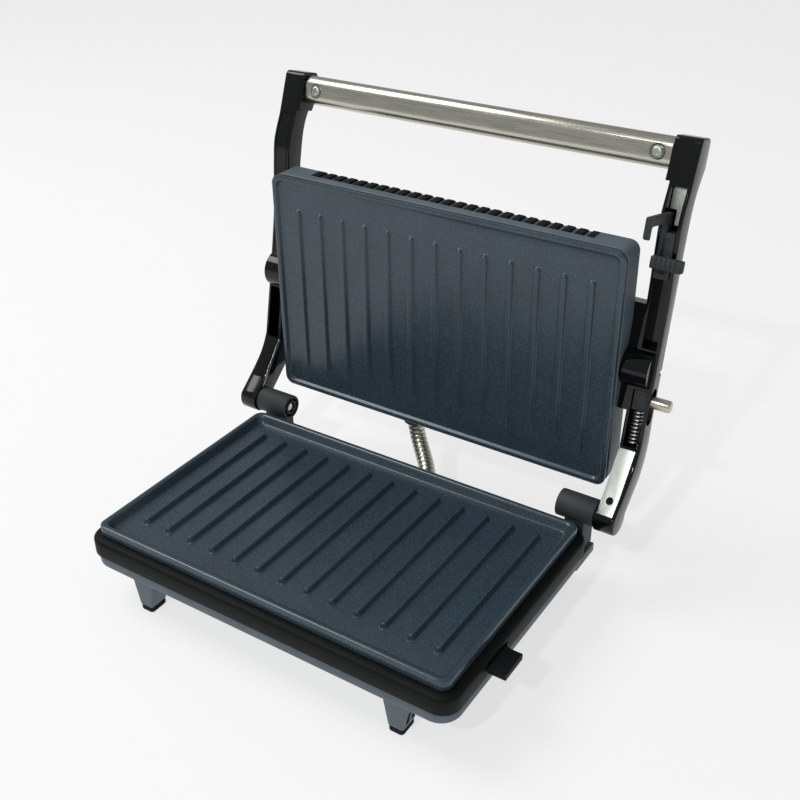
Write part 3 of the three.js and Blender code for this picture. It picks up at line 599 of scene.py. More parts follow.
# %% The press's own finishes
finishes = {
    "non_stick_plate": non_stick_coating(),
    "slate_housing": moulded_plastic("slate_plastic", "4B575F", "556169", 0.5, 0.6 * mm, 0.03 * mm, 0.4),
    "black_trim": moulded_plastic("black_trim_plastic", "0A0C0C", "0F1111", 0.55, 0.5 * mm, 0.03 * mm, 0.12),
    "gloss_black_arm": gloss_abs(),
    "matte_black": moulded_plastic("matte_black_plastic", "232829", "303637", 0.6, 0.7 * mm, 0.05 * mm, 0.35),
    "brushed_stainless": metal(
        "brushed_stainless", "A6A397", "D6D3C6", 0.24, 0.16 * mm, (120, 1, 1), 0.006 * mm
    ),
    "satin_steel": metal("zinc_plated_steel", "A3ABA4", "C2C8C0", 0.42, 0.5 * mm, (1, 1, 9), 0.01 * mm),
    "rubber_pad": moulded_plastic("black_rubber", "121314", "1B1C1D", 0.85, 0.4 * mm, 0.04 * mm, 0.3),
    "white_ceramic": ceramic_body(),
    "red_lens": lamp_lens("red_lens", "7E120E", "D2362C"),
    "green_lens": lamp_lens("green_lens", "1B5F27", "4BC25A"),
}
print("finishes:", len(finishes))

# %% [markdown]
# ## Grill plates
# A grill plate is one aluminium casting: a pan with a rounded lip, drafted walls and thirteen ribs that rise
# from the floor in soft fillets. A boolean would leave a hard crease at every rib. Instead the floor is a
# grid whose lines lie close together where the ribs are, rings of points carry it over the lip and down the
# outside, and a geometry tree lifts the grid by a rule: how far is this point from the nearest rib's spine?

# %% Sizes of the plate
rib_count = 13
rib_pitch = 16.2 * mm
rib_width = 4.6 * mm
rib_length = 109 * mm
rib_shift = 1.8 * mm
lower_pan = 5.2 * mm
lower_rib = 3 * mm
upper_pan = 2 * mm
upper_rib = 1.8 * mm
lip_corner = 5.5 * mm
grid_margin = 10 * mm
fine_reach = 3 * mm
fine_spacing = 0.25 * mm
corner_lines = 6
corner_spacing = 0.5 * mm


def grid_lines(half, centres):
    """Positions of grid lines: close together near the centres and at both ends."""
    lines = set()
    for side in (-1, 1):
        lines |= {round(side * (half - k * corner_spacing), 7) for k in range(corner_lines + 1)}
    steps = round(fine_reach / fine_spacing)
    for centre in centres:
        lines |= {round(centre + k * fine_spacing, 7) for k in range(-steps, steps + 1)}
    return sorted(lines)


def plate_lines():
    """Grid lines across the ribs and along them. A few more run across the ribs' middles."""
    spines = [(i - (rib_count - 1) / 2) * rib_pitch for i in range(rib_count)]
    xs = grid_lines(plate_width / 2 - grid_margin, spines)
    spine_end = (rib_length - rib_width) / 2
    ends = [rib_shift - spine_end, rib_shift + spine_end]
    ys = grid_lines(plate_depth / 2 - grid_margin, ends)
    middle = [y * 10 * mm for y in range(-4, 5)]
    return xs, sorted(set(ys) | set(middle))


def border(xs, ys):
    """Grid indices around the edge, anticlockwise from the front left."""
    right, back = len(xs) - 1, len(ys) - 1
    return [
        *[(i, 0) for i in range(right)],
        *[(right, j) for j in range(back)],
        *[(i, back) for i in range(right, 0, -1)],
        *[(0, j) for j in range(back, 0, -1)],
    ]


def ring_around(xs, ys, half_width, half_depth, corner, z):
    """The grid's edge carried out to a level ring with round corners."""
    ring = []
    for i, j in border(xs, ys):
        across = min(i, len(xs) - 1 - i)
        along = min(j, len(ys) - 1 - j)
        side_x = -1 if i < len(xs) / 2 else 1
        side_y = -1 if j < len(ys) / 2 else 1
        centre = Vector((side_x * (half_width - corner), side_y * (half_depth - corner)))
        on_end = along == 0
        count = across if on_end else along
        if count <= corner_lines:
            turn = math.radians(45) * (1 - count / corner_lines)
            out = (math.sin(turn), math.cos(turn)) if on_end else (math.cos(turn), math.sin(turn))
            place = centre + corner * Vector((side_x * out[0], side_y * out[1]))
        elif on_end:
            share = (half_width - corner) / xs[-1 - corner_lines]
            place = Vector((xs[i] * share, side_y * half_depth))
        else:
            share = (half_depth - corner) / ys[-1 - corner_lines]
            place = Vector((side_x * half_width, ys[j] * share))
        ring.append((place.x, place.y, z))
    return ring


# %% Sections of the lip and the walls
# Pairs of inset from the plate's outline and height, from the pan's floor out and down to the underside.
def deep_section():
    """The lower plate: a deep pan with drafted walls."""
    floor = [(8.6, -5.2), (6.4, -5.2), (5.9, -5.12), (5.5, -4.85), (5.2, -4.4)]
    wall = [(4.1, -1.9), (3.8, -1.1), (3.3, -0.45), (2.6, -0.08), (2.0, 0.0), (1.2, 0.0)]
    outside = [(0.6, -0.1), (0.2, -0.4), (0.0, -0.95), (0.0, -5.7), (0.15, -6.2), (0.6, -6.4)]
    body = [(3.8, -6.4), (4.0, -6.6), (4.0, -7.5), (4.5, -8.0)]
    return [*floor, *wall, *outside, *body]


def shallow_section():
    """The upper plate: a low lip around a nearly flat face, and a thin edge."""
    floor = [(8.6, -2.0), (4.3, -2.0), (3.95, -1.9), (3.75, -1.65)]
    wall = [(3.2, -0.5), (3.0, -0.2), (2.7, -0.05), (2.3, 0.0), (1.1, 0.0)]
    outside = [(0.6, -0.1), (0.2, -0.35), (0.0, -0.8), (0.0, -1.7), (0.15, -2.05), (0.5, -2.2)]
    body = [(2.8, -2.2), (3.0, -2.4), (3.0, -5.3), (3.4, -5.7)]
    return [*floor, *wall, *outside, *body]


def plate_body(name, pan, section):
    """The casting without its ribs: the pan's floor as a grid, and the section's rings around it."""
    xs, ys = plate_lines()
    points = [(x, y, -pan) for y in ys for x in xs]
    columns = len(xs)
    faces = []
    for j in range(len(ys) - 1):
        for i in range(columns - 1):
            a = j * columns + i
            faces.append((a, a + 1, a + 1 + columns, a + columns))
    inner = [j * columns + i for i, j in border(xs, ys)]
    for inset, height in section:
        half_width = plate_width / 2 - inset * mm
        half_depth = plate_depth / 2 - inset * mm
        corner = lip_corner - 0.35 * inset * mm
        outer = list(range(len(points), len(points) + len(inner)))
        points += ring_around(xs, ys, half_width, half_depth, corner, height * mm)
        for k in range(len(inner)):
            m = (k + 1) % len(inner)
            faces.append((inner[k], inner[m], outer[m], outer[k]))
        inner = outer
    faces.append(tuple(reversed(inner)))
    return add_piece(name, points, faces)


# %% The rib rule as a geometry tree
def rib_tree():
    """Lifts each point of the floor by its distance from the nearest rib's spine."""
    tree, given = shape_tree(
        "raise_ribs",
        Count=rib_count,
        Pitch=rib_pitch,
        Width=rib_width,
        Height=lower_rib,
        Length=rib_length,
        Shift=rib_shift,
        Fillet=0.35 * mm,
        Slope=1.5 * mm,
    )

    def calc(operation, *values):
        return arithmetic(tree, operation, *values)

    where = add_node(tree, "GeometryNodeInputPosition").outputs[0]
    split = add_node(tree, "ShaderNodeSeparateXYZ", {0: where}).outputs
    last = calc("DIVIDE", calc("SUBTRACT", given["Count"], 1), 2)
    nearest = calc("ROUND", calc("DIVIDE", split["X"], given["Pitch"]))
    nearest = calc("MINIMUM", nearest, last)
    nearest = calc("MAXIMUM", nearest, calc("MULTIPLY", last, -1))
    across = calc("SUBTRACT", split["X"], calc("MULTIPLY", nearest, given["Pitch"]))
    spine = calc("DIVIDE", calc("SUBTRACT", given["Length"], given["Width"]), 2)
    off_centre = calc("ABSOLUTE", calc("SUBTRACT", split["Y"], given["Shift"]))
    beyond = calc("MAXIMUM", calc("SUBTRACT", off_centre, spine), 0)
    squares = [calc("MULTIPLY", leg, leg) for leg in (across, beyond)]
    away = calc("SQRT", calc("ADD", *squares))
    half = calc("DIVIDE", given["Width"], 2)
    foot = calc("ADD", half, given["Fillet"])
    crown = calc("SUBTRACT", half, given["Slope"])
    rise = {"Value": away, "From Min": foot, "From Max": crown, "To Min": 0.0, "To Max": given["Height"]}
    lift = add_node(tree, "ShaderNodeMapRange", rise, interpolation_type="SMOOTHSTEP").outputs[0]
    offset = add_node(tree, "ShaderNodeCombineXYZ", {"Z": lift}).outputs[0]
    raised = add_node(tree, "GeometryNodeSetPosition", {"Geometry": given["Geometry"], "Offset": offset})
    end_tree(tree, given, raised.outputs[0])
    return tree


# %% Both plates
ribs = rib_tree()
coating = finishes["non_stick_plate"]
lower_body = plate_body("lower_plate", lower_pan, deep_section())
lower_plate = run_tree(lower_body, ribs, coating)
hand_in(moved(lower_plate, AT_BASE), "base", "non_stick_plate", "lower_grill_plate")

upper_low, upper_high = span("upper_grill_plate", AT_LID)
lid_middle = (upper_low.y + upper_high.y) / 2
lid_rim = upper_low.z
AT_UPPER = AT_LID @ Matrix.Translation((0, lid_middle, lid_rim)) @ Matrix.Rotation(math.pi, 4, "Y")
upper_body = plate_body("upper_plate", upper_pan, shallow_section())
upper_plate = run_tree(upper_body, ribs, coating, Height=upper_rib, Slope=1.2 * mm)
hand_in(moved(upper_plate, AT_UPPER), "lid", "non_stick_plate", "upper_grill_plate")

# %% [markdown]
# ## Base
# The base is two mouldings. A black trim band runs round the plate, with a soft upper edge and round corners.
# Below it, the slate housing is a tray with a low upright band over an underside that slopes in. Both are
# rings of a round rectangle, one for each level of their section, and `loft` skins them.

# %% Trim band
trim_low, trim_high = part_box("base_trim_frame")
trim_size = trim_high - trim_low
outer_side = [(0.8, 0.0), (0.25, 0.2), (0.0, 0.8), (0.0, 8.6), (0.2, 9.6)]
upper_side = [(0.8, 10.4), (1.7, 10.9), (2.8, 11.2), (8.7, 11.2), (8.7, 0.0)]
trim_rings = section_rings(
    trim_size.x / 2,
    trim_size.y / 2,
    corner=11 * mm,
    section=outer_side + upper_side,
    base=trim_low.z - rim_middle.z,
    steps=14,
    least=4.5 * mm,
)
trim = loft("trim_band", trim_rings, AT_BASE, closed=True)
hand_in(trim, "base", "black_trim", "base_trim_frame")

# %% Housing tray
housing_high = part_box("base_housing")[1]
housing_proud = 4 * mm
housing_wall = 2.6 * mm
housing_round = 2.5 * mm
housing_corner = 12 * mm
housing_taper = 24 * mm
housing_drop = 12 * mm
housing_top = housing_high.z - rim_middle.z
band_bottom = housing_top - 7.5 * mm
tray_half_width = plate_width / 2 + housing_proud
tray_half_depth = plate_depth / 2 + housing_proud


def tray_ring(inset, corner, z):
    """A level ring at an inset from the tray's outline."""
    return round_rect(tray_half_width - inset, tray_half_depth - inset, corner, z, 14)


def tray_side(wall, top):
    """Rings down one side of the tray: the upright band, its round edge and the sloping underside."""
    low = band_bottom + wall
    corner = housing_corner - wall
    rings = [tray_ring(wall, corner, top)]
    for k in range(7):
        turn = k / 6 * math.pi / 2
        turned_in = housing_round * (1 - math.cos(turn))
        height = low + housing_round * (1 - math.sin(turn))
        rings.append(tray_ring(wall + turned_in, corner - turned_in, height))
    floor = low - housing_drop
    for before, rise in ((1.2 * mm, 0.67 * mm), (0.0, 0.15 * mm), (-1.5 * mm, 0.0)):
        rings.append(tray_ring(wall + housing_taper - before, corner, floor + rise))
    return rings


outer_rings = tray_side(0.0, housing_top - 0.6 * mm)
inner_rings = tray_side(housing_wall, housing_top)
edge_rings = [
    tray_ring(0.6 * mm, housing_corner, housing_top),
    tray_ring(0.2 * mm, housing_corner, housing_top - 0.2 * mm),
]
tray = loft("base_tray", [*reversed(inner_rings), *edge_rings, *outer_rings], AT_BASE)

# %% [markdown]
# ### Legs
# Each leg is a tapered fin, hollow on one side with a gusset in the hollow, as legs are moulded to keep their
# walls even. The rear legs are longer, because they stand under the hinge posts.


# %% Legs and hinge shelves
shelf_top = -rim_middle.z / 2
leg_wall = 1.8 * mm
leg_spread = 4 * mm


def leg(foot):
    """The leg over a foot pad, wider towards its top, with two pockets on its outer side."""
    low, high = [corner - rim_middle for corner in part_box(foot)]
    x = (low.x + high.x) / 2
    gusset = (low.y + high.y) / 2
    half = (high.x - low.x) / 2
    bottom = high.z + gap
    height = shelf_top - bottom
    rings = []
    for rise, inset in ((0.0, 0.5 * mm), (0.5 * mm, 0.12 * mm), (1.0 * mm, 0.0), (height, 0.0)):
        wide = half + leg_spread * rise / height - inset
        ring = round_rect(wide, (high.y - low.y) / 2 - inset, 1.2 * mm, bottom + rise, 4)
        rings.append([(px + x, py + gusset, pz) for px, py, pz in ring])
    solid = loft("leg", rings, AT_BASE)
    wall = leg_wall
    side = 1 if x > 0 else -1
    pockets = []
    for start, end in ((low.y + wall, gusset - wall / 2), (gusset + wall / 2, high.y - wall)):
        outline = rect(start, end, bottom + 3 * mm, band_bottom - 8.5 * mm, 0.8 * mm)
        near, far = sorted((x - side * (half - wall), x + side * 3 * half))
        pockets.append(prism("pocket", outline, near, far, AT_BASE))
    return carved(solid, *pockets)


feet = [name for name in frame["nodes"] if name.startswith("foot_pad")]
barrel_low, barrel_high = span("hinge_barrel_right", AT_BASE)
shelf_middle = (barrel_low.x + barrel_high.x) / 2 + 0.1 * mm
shelf_half = 8 * mm
shelf_thick = 6 * mm
shelves = []
for side in (-1, 1):
    centre = side * shelf_middle
    low = (centre - shelf_half, tray_half_depth - shelf_half, shelf_top - shelf_thick)
    high = (centre + shelf_half, barrel_high.y, shelf_top)
    shelves.append(slab("shelf", low, high, AT_BASE, 1 * mm, 0.8 * mm))
hollow = loft("hollow", inner_rings, AT_BASE @ Matrix.Translation((0, 0, 0.05 * mm)))
# The rear box holds the conduit's socket and the mains inlet.
box_low = Vector((-4.2 * mm, tray_half_depth - 26 * mm, housing_top - 16 * mm))
box_high = Vector((66.5 * mm, tray_half_depth, housing_top - 1 * mm))
skin = Vector((housing_wall, housing_wall, housing_wall))
rear_box = slab("rear_box", box_low, box_high, AT_BASE, 1.5 * mm, 1 * mm)
rear_hollow = slab("rear_hollow", box_low + skin, box_high - skin + Vector((0, 0, 10 * mm)), AT_BASE)
tray = joined(tray, *shelves, *[leg(foot) for foot in feet], rear_box)
tray = carved(tray, hollow, rear_hollow)
hand_in(tray, "base", "slate_housing", "base_housing")

# %% Foot pads
for foot in feet:
    low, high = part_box(foot)
    middle = (low + high) / 2
    half = (high - low) / 2
    section = [(0.9, 0.0), (0.25, 0.25), (0.0, 0.8), (0.0, 2.4), (0.2, 2.85), (0.7, 3.0)]
    rings = section_rings(half.x, half.y, 2 * mm, section, lean=0.5)
    pad = loft(foot.replace("foot_pad", "pad"), rings, Matrix.Translation((middle.x, middle.y, low.z)))
    hand_in(pad, "base", "rubber_pad", foot)

# %% [markdown]
# ### Latch lug
# The lug is the fixed half of the latch: a short black tongue with a raised ridge, which runs into the trim
# in a fillet on its rear side.

# %% Latch lug
lug_low, lug_high = span("latch_lug", AT_BASE)
lug_root = lug_low.x
lug_tip = lug_high.x
lug_length = 17.5 * mm
lug_fillet = spline(
    [
        (lug_root + 3.4 * mm, lug_low.y + lug_length),
        (lug_root + 1.1 * mm, lug_low.y + lug_length + 1.0 * mm),
        (lug_root, lug_low.y + lug_length + 4 * mm),
    ],
    6,
)
lug_outline = [
    (lug_root, lug_low.y),
    (lug_tip, lug_low.y),
    (lug_tip, lug_low.y + lug_length),
    *lug_fillet,
]
# The outline lies in x and y, so it is drawn as y and z and turned.
LYING = Matrix(((0, 1, 0, 0), (0, 0, 1, 0), (1, 0, 0, 0), (0, 0, 0, 1)))
lug = prism("lug", lug_outline, lug_low.z, lug_high.z - 0.7 * mm, AT_BASE @ LYING, 0.5 * mm)
ridge_low = (lug_root + 0.3 * mm, lug_low.y + 0.8 * mm, lug_high.z - 1.2 * mm)
ridge_high = (lug_tip - 0.6 * mm, lug_low.y + 6.4 * mm, lug_high.z)
ridge = slab("ridge", ridge_low, ridge_high, AT_BASE, 0.4 * mm, 0.4 * mm)
lug = joined(lug, ridge)
hand_in(lug, "base", "black_trim", "latch_lug")

# %% [markdown]
# ## Lid
# The lid housing is a slate tray over the upper plate. Its front wall carries a row of louvre bars that wrap
# over the top edge. One bar is made as a short loft along the wall and round the edge, and a geometry
# tree repeats it on a line, so the number of bars and their spacing stay two numbers.

# %% Lid housing
lid_low, lid_high = span("lid_housing", AT_LID)
lid_top = lid_high.z
lid_wall = 2.6 * mm
lid_edge = 4 * mm
panel_inset = 26 * mm
panel_corner = 10 * mm
AT_LID_MIDDLE = AT_LID @ Matrix.Translation((0, lid_middle, 0))


def lid_ring(inset, z, corner):
    """A level ring at an inset from the lid's outline."""
    return round_rect(plate_width / 2 - inset, plate_depth / 2 - inset, corner, z, 8)


lid_start = lid_low.z + 0.9 * mm
lid_rings = [lid_ring(lid_wall, lid_start, 5 * mm), lid_ring(0.5 * mm, lid_start, 5.5 * mm)]
lid_rings += [lid_ring(0.0, lid_start + 0.5 * mm, 6 * mm)]
for k in range(9):
    turn = k / 8 * math.pi / 2
    inset = lid_edge * (1 - math.cos(turn))
    lid_rings.append(lid_ring(inset, lid_top - lid_edge + lid_edge * math.sin(turn), 6 * mm - inset))
lid_rings += [
    lid_ring(panel_inset - 0.4 * mm, lid_top, panel_corner + 0.4 * mm),
    lid_ring(panel_inset, lid_top - 0.4 * mm, panel_corner),
    lid_ring(panel_inset, lid_top - 1.2 * mm, panel_corner),
]
ceiling = [lid_ring(lid_wall, lid_top - lid_wall, 5 * mm)]
lid_shell = loft("lid_shell", [*ceiling, *lid_rings], AT_LID_MIDDLE)

# %% Room for the bars and the lamps
bar_count = 25
bar_pitch = 7.5 * mm
bar_width = 4.9 * mm
bar_height = 1.5 * mm
bar_wrap = 9 * mm
bar_foot = 6.5 * mm
row_half = bar_count * bar_pitch / 2 - 1.3 * mm
front = -plate_depth / 2
bar_bottom = lid_low.z + bar_foot
cuts = []
for bottom, depth in ((bar_bottom, bar_height), (lid_top - bar_height, bar_wrap)):
    low = (-row_half, front - 5 * mm, bottom)
    high = (row_half, front + depth, lid_top + 5 * mm)
    cuts.append(slab("room", low, high, AT_LID_MIDDLE, 0.3 * mm, 0.3 * mm))


def lamp_stand(lamp):
    """A place on the lamp's axis, at its foot."""
    low, high = span(lamp, AT_LID)
    return standing(AT_LID, (low.x + high.x) / 2, (low.y + high.y) / 2, low.z)


lamp_slots = {"power_lamp": "red_lens", "ready_lamp": "green_lens"}
for lamp in lamp_slots:
    hole = [(-1 * mm, 3.5 * mm), (6 * mm, 3.5 * mm)]
    cuts.append(turned("lamp_hole", hole, 0, 0, lamp_stand(lamp)))
lid_shell = carved(lid_shell, *cuts)
hand_in(lid_shell, "lid", "slate_housing", "lid_housing")


# %% One louvre bar
def bar_path():
    """Points and outward directions up the front wall, round the edge and back over the top."""
    path = [(front, bar_bottom + k * mm, -1.0, 0.0) for k in (0.3, 0.9, 1.6, 3.0)]
    path.append((front, lid_top - lid_edge, -1.0, 0.0))
    for k in range(1, 8):
        turn = k / 8 * math.pi / 2
        out = (-math.cos(turn), math.sin(turn))
        y = front + lid_edge + lid_edge * out[0]
        path.append((y, lid_top - lid_edge + lid_edge * out[1], *out))
    path += [(front + k * mm, lid_top, 0.0, 1.0) for k in (4.0, 7.2, 8.1, 8.7)]
    return path


def louvre_bar():
    """One bar along the path, round at its edges and lower at both ends."""
    half = bar_width / 2
    heights = [-0.3, 0.2, 0.75, 0.95, 1.0]
    insets = [0.0, 0.0, 0.12, 0.45, 0.9]
    path = bar_path()
    lows = [0.35, 0.75, 0.95, *[1.0] * (len(path) - 6), 0.95, 0.75, 0.35]
    rings = []
    for (y, z, out_y, out_z), low in zip(path, lows):
        ring = []
        for side in (-1, 1):
            pairs = list(zip(heights, insets))
            for height, inset in pairs if side < 0 else reversed(pairs):
                rise = bar_height * (height if height < 0 else height * low) - bar_height
                ring.append((side * (half - inset * mm), y + out_y * rise, z + out_z * rise))
        rings.append(ring)
    return loft("louvre_bar", rings)


def row_tree():
    """Repeats a bar along a line."""
    tree, given = shape_tree("row_of_bars", Count=bar_count, Pitch=bar_pitch)
    across = arithmetic(tree, "MULTIPLY", given["Pitch"], arithmetic(tree, "SUBTRACT", given["Count"], 1))
    start = add_node(tree, "ShaderNodeCombineXYZ", {"X": arithmetic(tree, "MULTIPLY", across, -0.5)})
    step = add_node(tree, "ShaderNodeCombineXYZ", {"X": given["Pitch"]})
    inputs = {"Count": given["Count"], "Start Location": start.outputs[0], "Offset": step.outputs[0]}
    line = add_node(tree, "GeometryNodeMeshLine", inputs)
    row = {"Points": line.outputs[0], "Instance": given["Geometry"]}
    end_tree(tree, given, add_node(tree, "GeometryNodeInstanceOnPoints", row).outputs[0])
    return tree


bars = run_tree(louvre_bar(), row_tree(), finishes["black_trim"])
bars.name = "louvre_bars"
hand_in(moved(bars, AT_LID_MIDDLE), "lid", "black_trim")

# %% Cover panel and lamps
panel_low, panel_high = span("lid_cover_panel", AT_LID)
half = (panel_high - panel_low) / 2
section = [(0.2, 0.0), (0.0, 0.2), (0.0, 1.0), (0.15, 1.3), (0.5, 1.5)]
panel_rings = section_rings(half.x, half.y, panel_corner, section, panel_low.z, 12)
panel = loft("cover_panel", panel_rings, AT_LID_MIDDLE)
hand_in(panel, "lid", "brushed_stainless", "lid_cover_panel")

for lamp, slot in lamp_slots.items():
    dome = [(4.7 - 1.5 * (k / 8) ** 2.2, 4.2 * k / 8) for k in range(8)]
    profile = [*dome, (3.3, 4.15), (3.05, 4.2), (3.0, 4.1), (3.0, 3.2), (0.0, 3.2)]
    profile = [(x * mm, radius * mm) for x, radius in profile]
    lens = turned(lamp + "_lens", profile, 0, 0, lamp_stand(lamp))
    hand_in(lens, "lid", slot, lamp)

# %% Pivot pins and bushes
pivot_bore = 4.3 * mm
for name in ("pivot_pin_right", "pivot_bush_right"):
    low, high = span(name, AT_LID)
    radius = (high.z - low.z) / 2
    bore = pivot_bore if "bush" in name else 0.0
    round_off = 0.3 * mm
    profile = [
        (low.x, bore),
        (low.x, radius - round_off),
        (low.x + round_off, radius),
        (high.x - round_off, radius),
        (high.x, radius - round_off),
        (high.x, bore),
    ]
    profile += [profile[0]] if bore else []
    slot = "matte_black" if bore else "brushed_stainless"
    hand_in_pair(turned(name + "_round", profile, 0, 0, AT_LID), "lid", slot, name)

# %% [markdown]
# ## Arms
# The side arms are gloss black shells. Their outline is drawn once from the hinge axis, as if the press were
# closed: the lower edge out to the handle, the end, and the upper edge back, with a round around the hinge.
# The prism gives it rounded edges. Hub, thick stretch and handle block are joined on, and the channels, the
# strap's seat, the bores and the slot are cut out.

# %% Sizes of the arms
right_low, right_high = span("arm_shell_right", AT_ARMS)
tube_low, tube_high = span("handle_tube", AT_ARMS)
strap_low, strap_high = span("hinge_strap_right", AT_ARMS)
arm_outer = right_high.x
arm_width = 12.5 * mm
arm_inner = arm_outer - arm_width
arm_skin = 2 * mm
channel_inner = arm_inner + arm_skin
channel_outer = arm_outer - arm_skin
handle_reach = -(tube_low.y + tube_high.y) / 2
handle_rise = (tube_low.z + tube_high.z) / 2
handle_width = tube_high.y - tube_low.y
handle_thick = tube_high.z - tube_low.z
tube_end = tube_high.x
pivot_in_arms = AT_ARMS.inverted() @ pivot
pivot_reach = -pivot_in_arms.y
pivot_rise = pivot_in_arms.z
hub_radius = 11 * mm
hub_inner = right_low.x
arm_round = 9 * mm
arm_end = handle_reach + handle_width / 2 + 1.5 * mm
strap_eye = 5.2 * mm
strap_slope = math.atan2(17.6, 36)
strap_length = 40.1 * mm
bay_start = 36 * mm + strap_eye * math.sin(strap_slope) + 0.6 * mm
bay_end = pivot_reach - hub_radius - 1 * mm
track_start = pivot_reach + hub_radius + 0.5 * mm
track_end = handle_reach - 15 * mm


def arm_outline():
    """Pairs of y and z around the arm. Distances from the hinge run along -y."""
    lower_near = [(2.7, -8.55), (20, 4.2), (30, 9.9), (40, 12.8)]
    far = handle_reach / mm
    hub = pivot_reach / mm
    lower_far = [(40, 12.8), (hub + 29, 11.2), (far - 49, 7), (far - 32, 5.6), (far - 16, 9)]
    upper = [
        (far - 6, handle_rise / mm + 7.25),
        (far - 21, 20.6),
        (far - 40, 19.4),
        (hub + 35, 21.2),
        (hub - 10, 23.4),
        (55, 24.4),
        (42, 26),
        (31, 25.4),
        (19, 21.6),
    ]
    low_end = handle_rise - handle_thick / 2 - 1 * mm
    high_end = handle_rise + handle_thick / 2 + 1 * mm

    def line(points):
        return spline([(-reach * mm, rise * mm) for reach, rise in points], 6)

    return [
        *line(lower_near),
        *line(lower_far),
        *arc(-arm_end + 3 * mm, low_end + 3 * mm, 3 * mm, 270, 180, 6),
        *arc(-arm_end + 3 * mm, high_end - 3 * mm, 3 * mm, 180, 90, 6),
        *line(upper),
        *arc(0, 0, arm_round, 100.8, -104.4, 24),
    ]


# %% Parts of the arms
below_all = -40 * mm
above_all = 60 * mm


def window(near, far, x0, x1, edge):
    """A block over the arm between two distances from the hinge, to keep what lies inside it."""
    low = (x0 - mm, -far, below_all)
    return slab("window", low, (x1 + mm, -near, above_all), AT_ARMS, 1 * mm, edge)


def stretch(outline, near, far, x0, x1, edge):
    """The part of the arm's outline between two distances from the hinge, with rounded sides."""
    body = prism("stretch", outline, x0, x1, AT_ARMS, edge)
    return trimmed(body, window(near, far, x0, x1, 0.5 * mm))


def lowered(outline, drop):
    """The arm's outline moved down, towards its open side."""
    return [(y, z - drop) for y, z in outline]


def bay(near, far):
    """A channel that is open below and keeps a skin under the arm's upper edge."""
    upper = prism("bay", lowered(arm_outline(), arm_skin), channel_inner, channel_outer, AT_ARMS)
    lower = prism("bay", lowered(arm_outline(), 9 * mm), channel_inner, channel_outer, AT_ARMS)
    return trimmed(joined(upper, lower), window(near, far, channel_inner, channel_outer, 0.05 * mm))


def along_strap(pairs):
    """Pairs of distance along the strap and distance out from the hinge line, as y and z."""
    along = Vector((-math.cos(strap_slope), math.sin(strap_slope)))
    out = Vector((-math.sin(strap_slope), -math.cos(strap_slope)))
    return [tuple(along * reach + out * rise) for reach, rise in pairs]


def leaf_outline(grow):
    """The strap's leaf, rolled round the hinge pin at its near end."""
    corners = [
        (0, strap_eye - 1.5 * mm - grow),
        (0, strap_eye + grow),
        (strap_length + grow, strap_eye + grow),
        (strap_length + grow, strap_eye - 1.5 * mm - grow),
    ]
    return along_strap(corners)


def bar_x(name, radius, x0, x1, y, z, place=AT_ARMS):
    """A round bar along X."""
    return turned(name, [(x0, radius), (x1, radius)], y, z, place)


def bar_z(name, radius, z0, z1, x, y, sides=40):
    """A round bar that stands in the arms' place."""
    return turned(name, [(z0, radius), (z1, radius)], 0, 0, standing(AT_ARMS, x, y), sides)


def handle_outline(inset, corner, steps=4):
    """The handle's oval section, moved inwards."""
    half_y = handle_width / 2 - inset
    half_z = handle_thick / 2 - inset
    low_z, high_z = handle_rise - half_z, handle_rise + half_z
    return rect(-handle_reach - half_y, -handle_reach + half_y, low_z, high_z, corner, steps)


screw_low, screw_high = span("handle_screw_right", AT_ARMS)
screw_x = (screw_low.x + screw_high.x) / 2
screw_bore = 1.8 * mm
pin_bore = 3.3 * mm


def arm_shell(side_cuts):
    """An arm for the right side, with the cuts that only this arm has."""
    outline = arm_outline()
    inner_end = arm_inner + 3 * mm
    shell = prism("arm", outline, arm_inner, arm_outer, AT_ARMS, 1.1 * mm, 4)
    hub_profile = [
        (hub_inner, hub_radius - 0.6 * mm),
        (hub_inner + 0.6 * mm, hub_radius),
        (channel_outer, hub_radius),
    ]
    hub = turned("hub", hub_profile, -pivot_reach, pivot_rise, AT_ARMS, 72)
    thick_start, thick_end = pivot_reach - 25 * mm, pivot_reach + 36 * mm
    thick = stretch(outline, thick_start, thick_end, hub_inner, inner_end, 0.6 * mm)
    block = stretch(
        outline, handle_reach - 13 * mm, arm_end + mm, tube_end + gap, inner_end, 0.6 * mm
    )
    tongue_section = handle_outline(2.3 * mm, 3 * mm)
    tongue = prism("tongue", tongue_section, tube_end - 18 * mm, tube_end + 2 * mm, AT_ARMS)
    cuts = [
        bay(bay_start, bay_end),
        bay(track_start, track_end),
        prism("seat", leaf_outline(gap), arm_inner - mm, channel_outer, AT_ARMS),
        bar_x("seat", strap_eye + gap, arm_inner - mm, channel_outer, 0, 0),
        bar_x("bore", pivot_bore, hub_inner - mm, channel_outer - gap, -pivot_reach, pivot_rise),
        bar_z("screw_hole", screw_bore, 0, handle_rise + 5.35 * mm, screw_x, -handle_reach),
        *side_cuts,
    ]
    shell = joined(shell, hub, thick, block, tongue)
    return carved(shell, *cuts)


# %% The right arm has the latch, the release slot and a blind hole over the hub
pin_low, pin_high = span("release_pin", AT_ARMS)
pin_reach = -(pin_low.y + pin_high.y) / 2
pin_rise = (pin_low.z + pin_high.z) / 2
pin_radius = (pin_high.z - pin_low.z) / 2
slot_half = pin_radius + 0.4 * mm
slot_outline = [
    *arc(-pin_reach + 10 * mm, pin_rise, slot_half, -90, 90, 12),
    *arc(-pin_reach - 4 * mm, pin_rise, slot_half, 90, 270, 12),
]
recess_rise = pivot_rise + 6.5 * mm
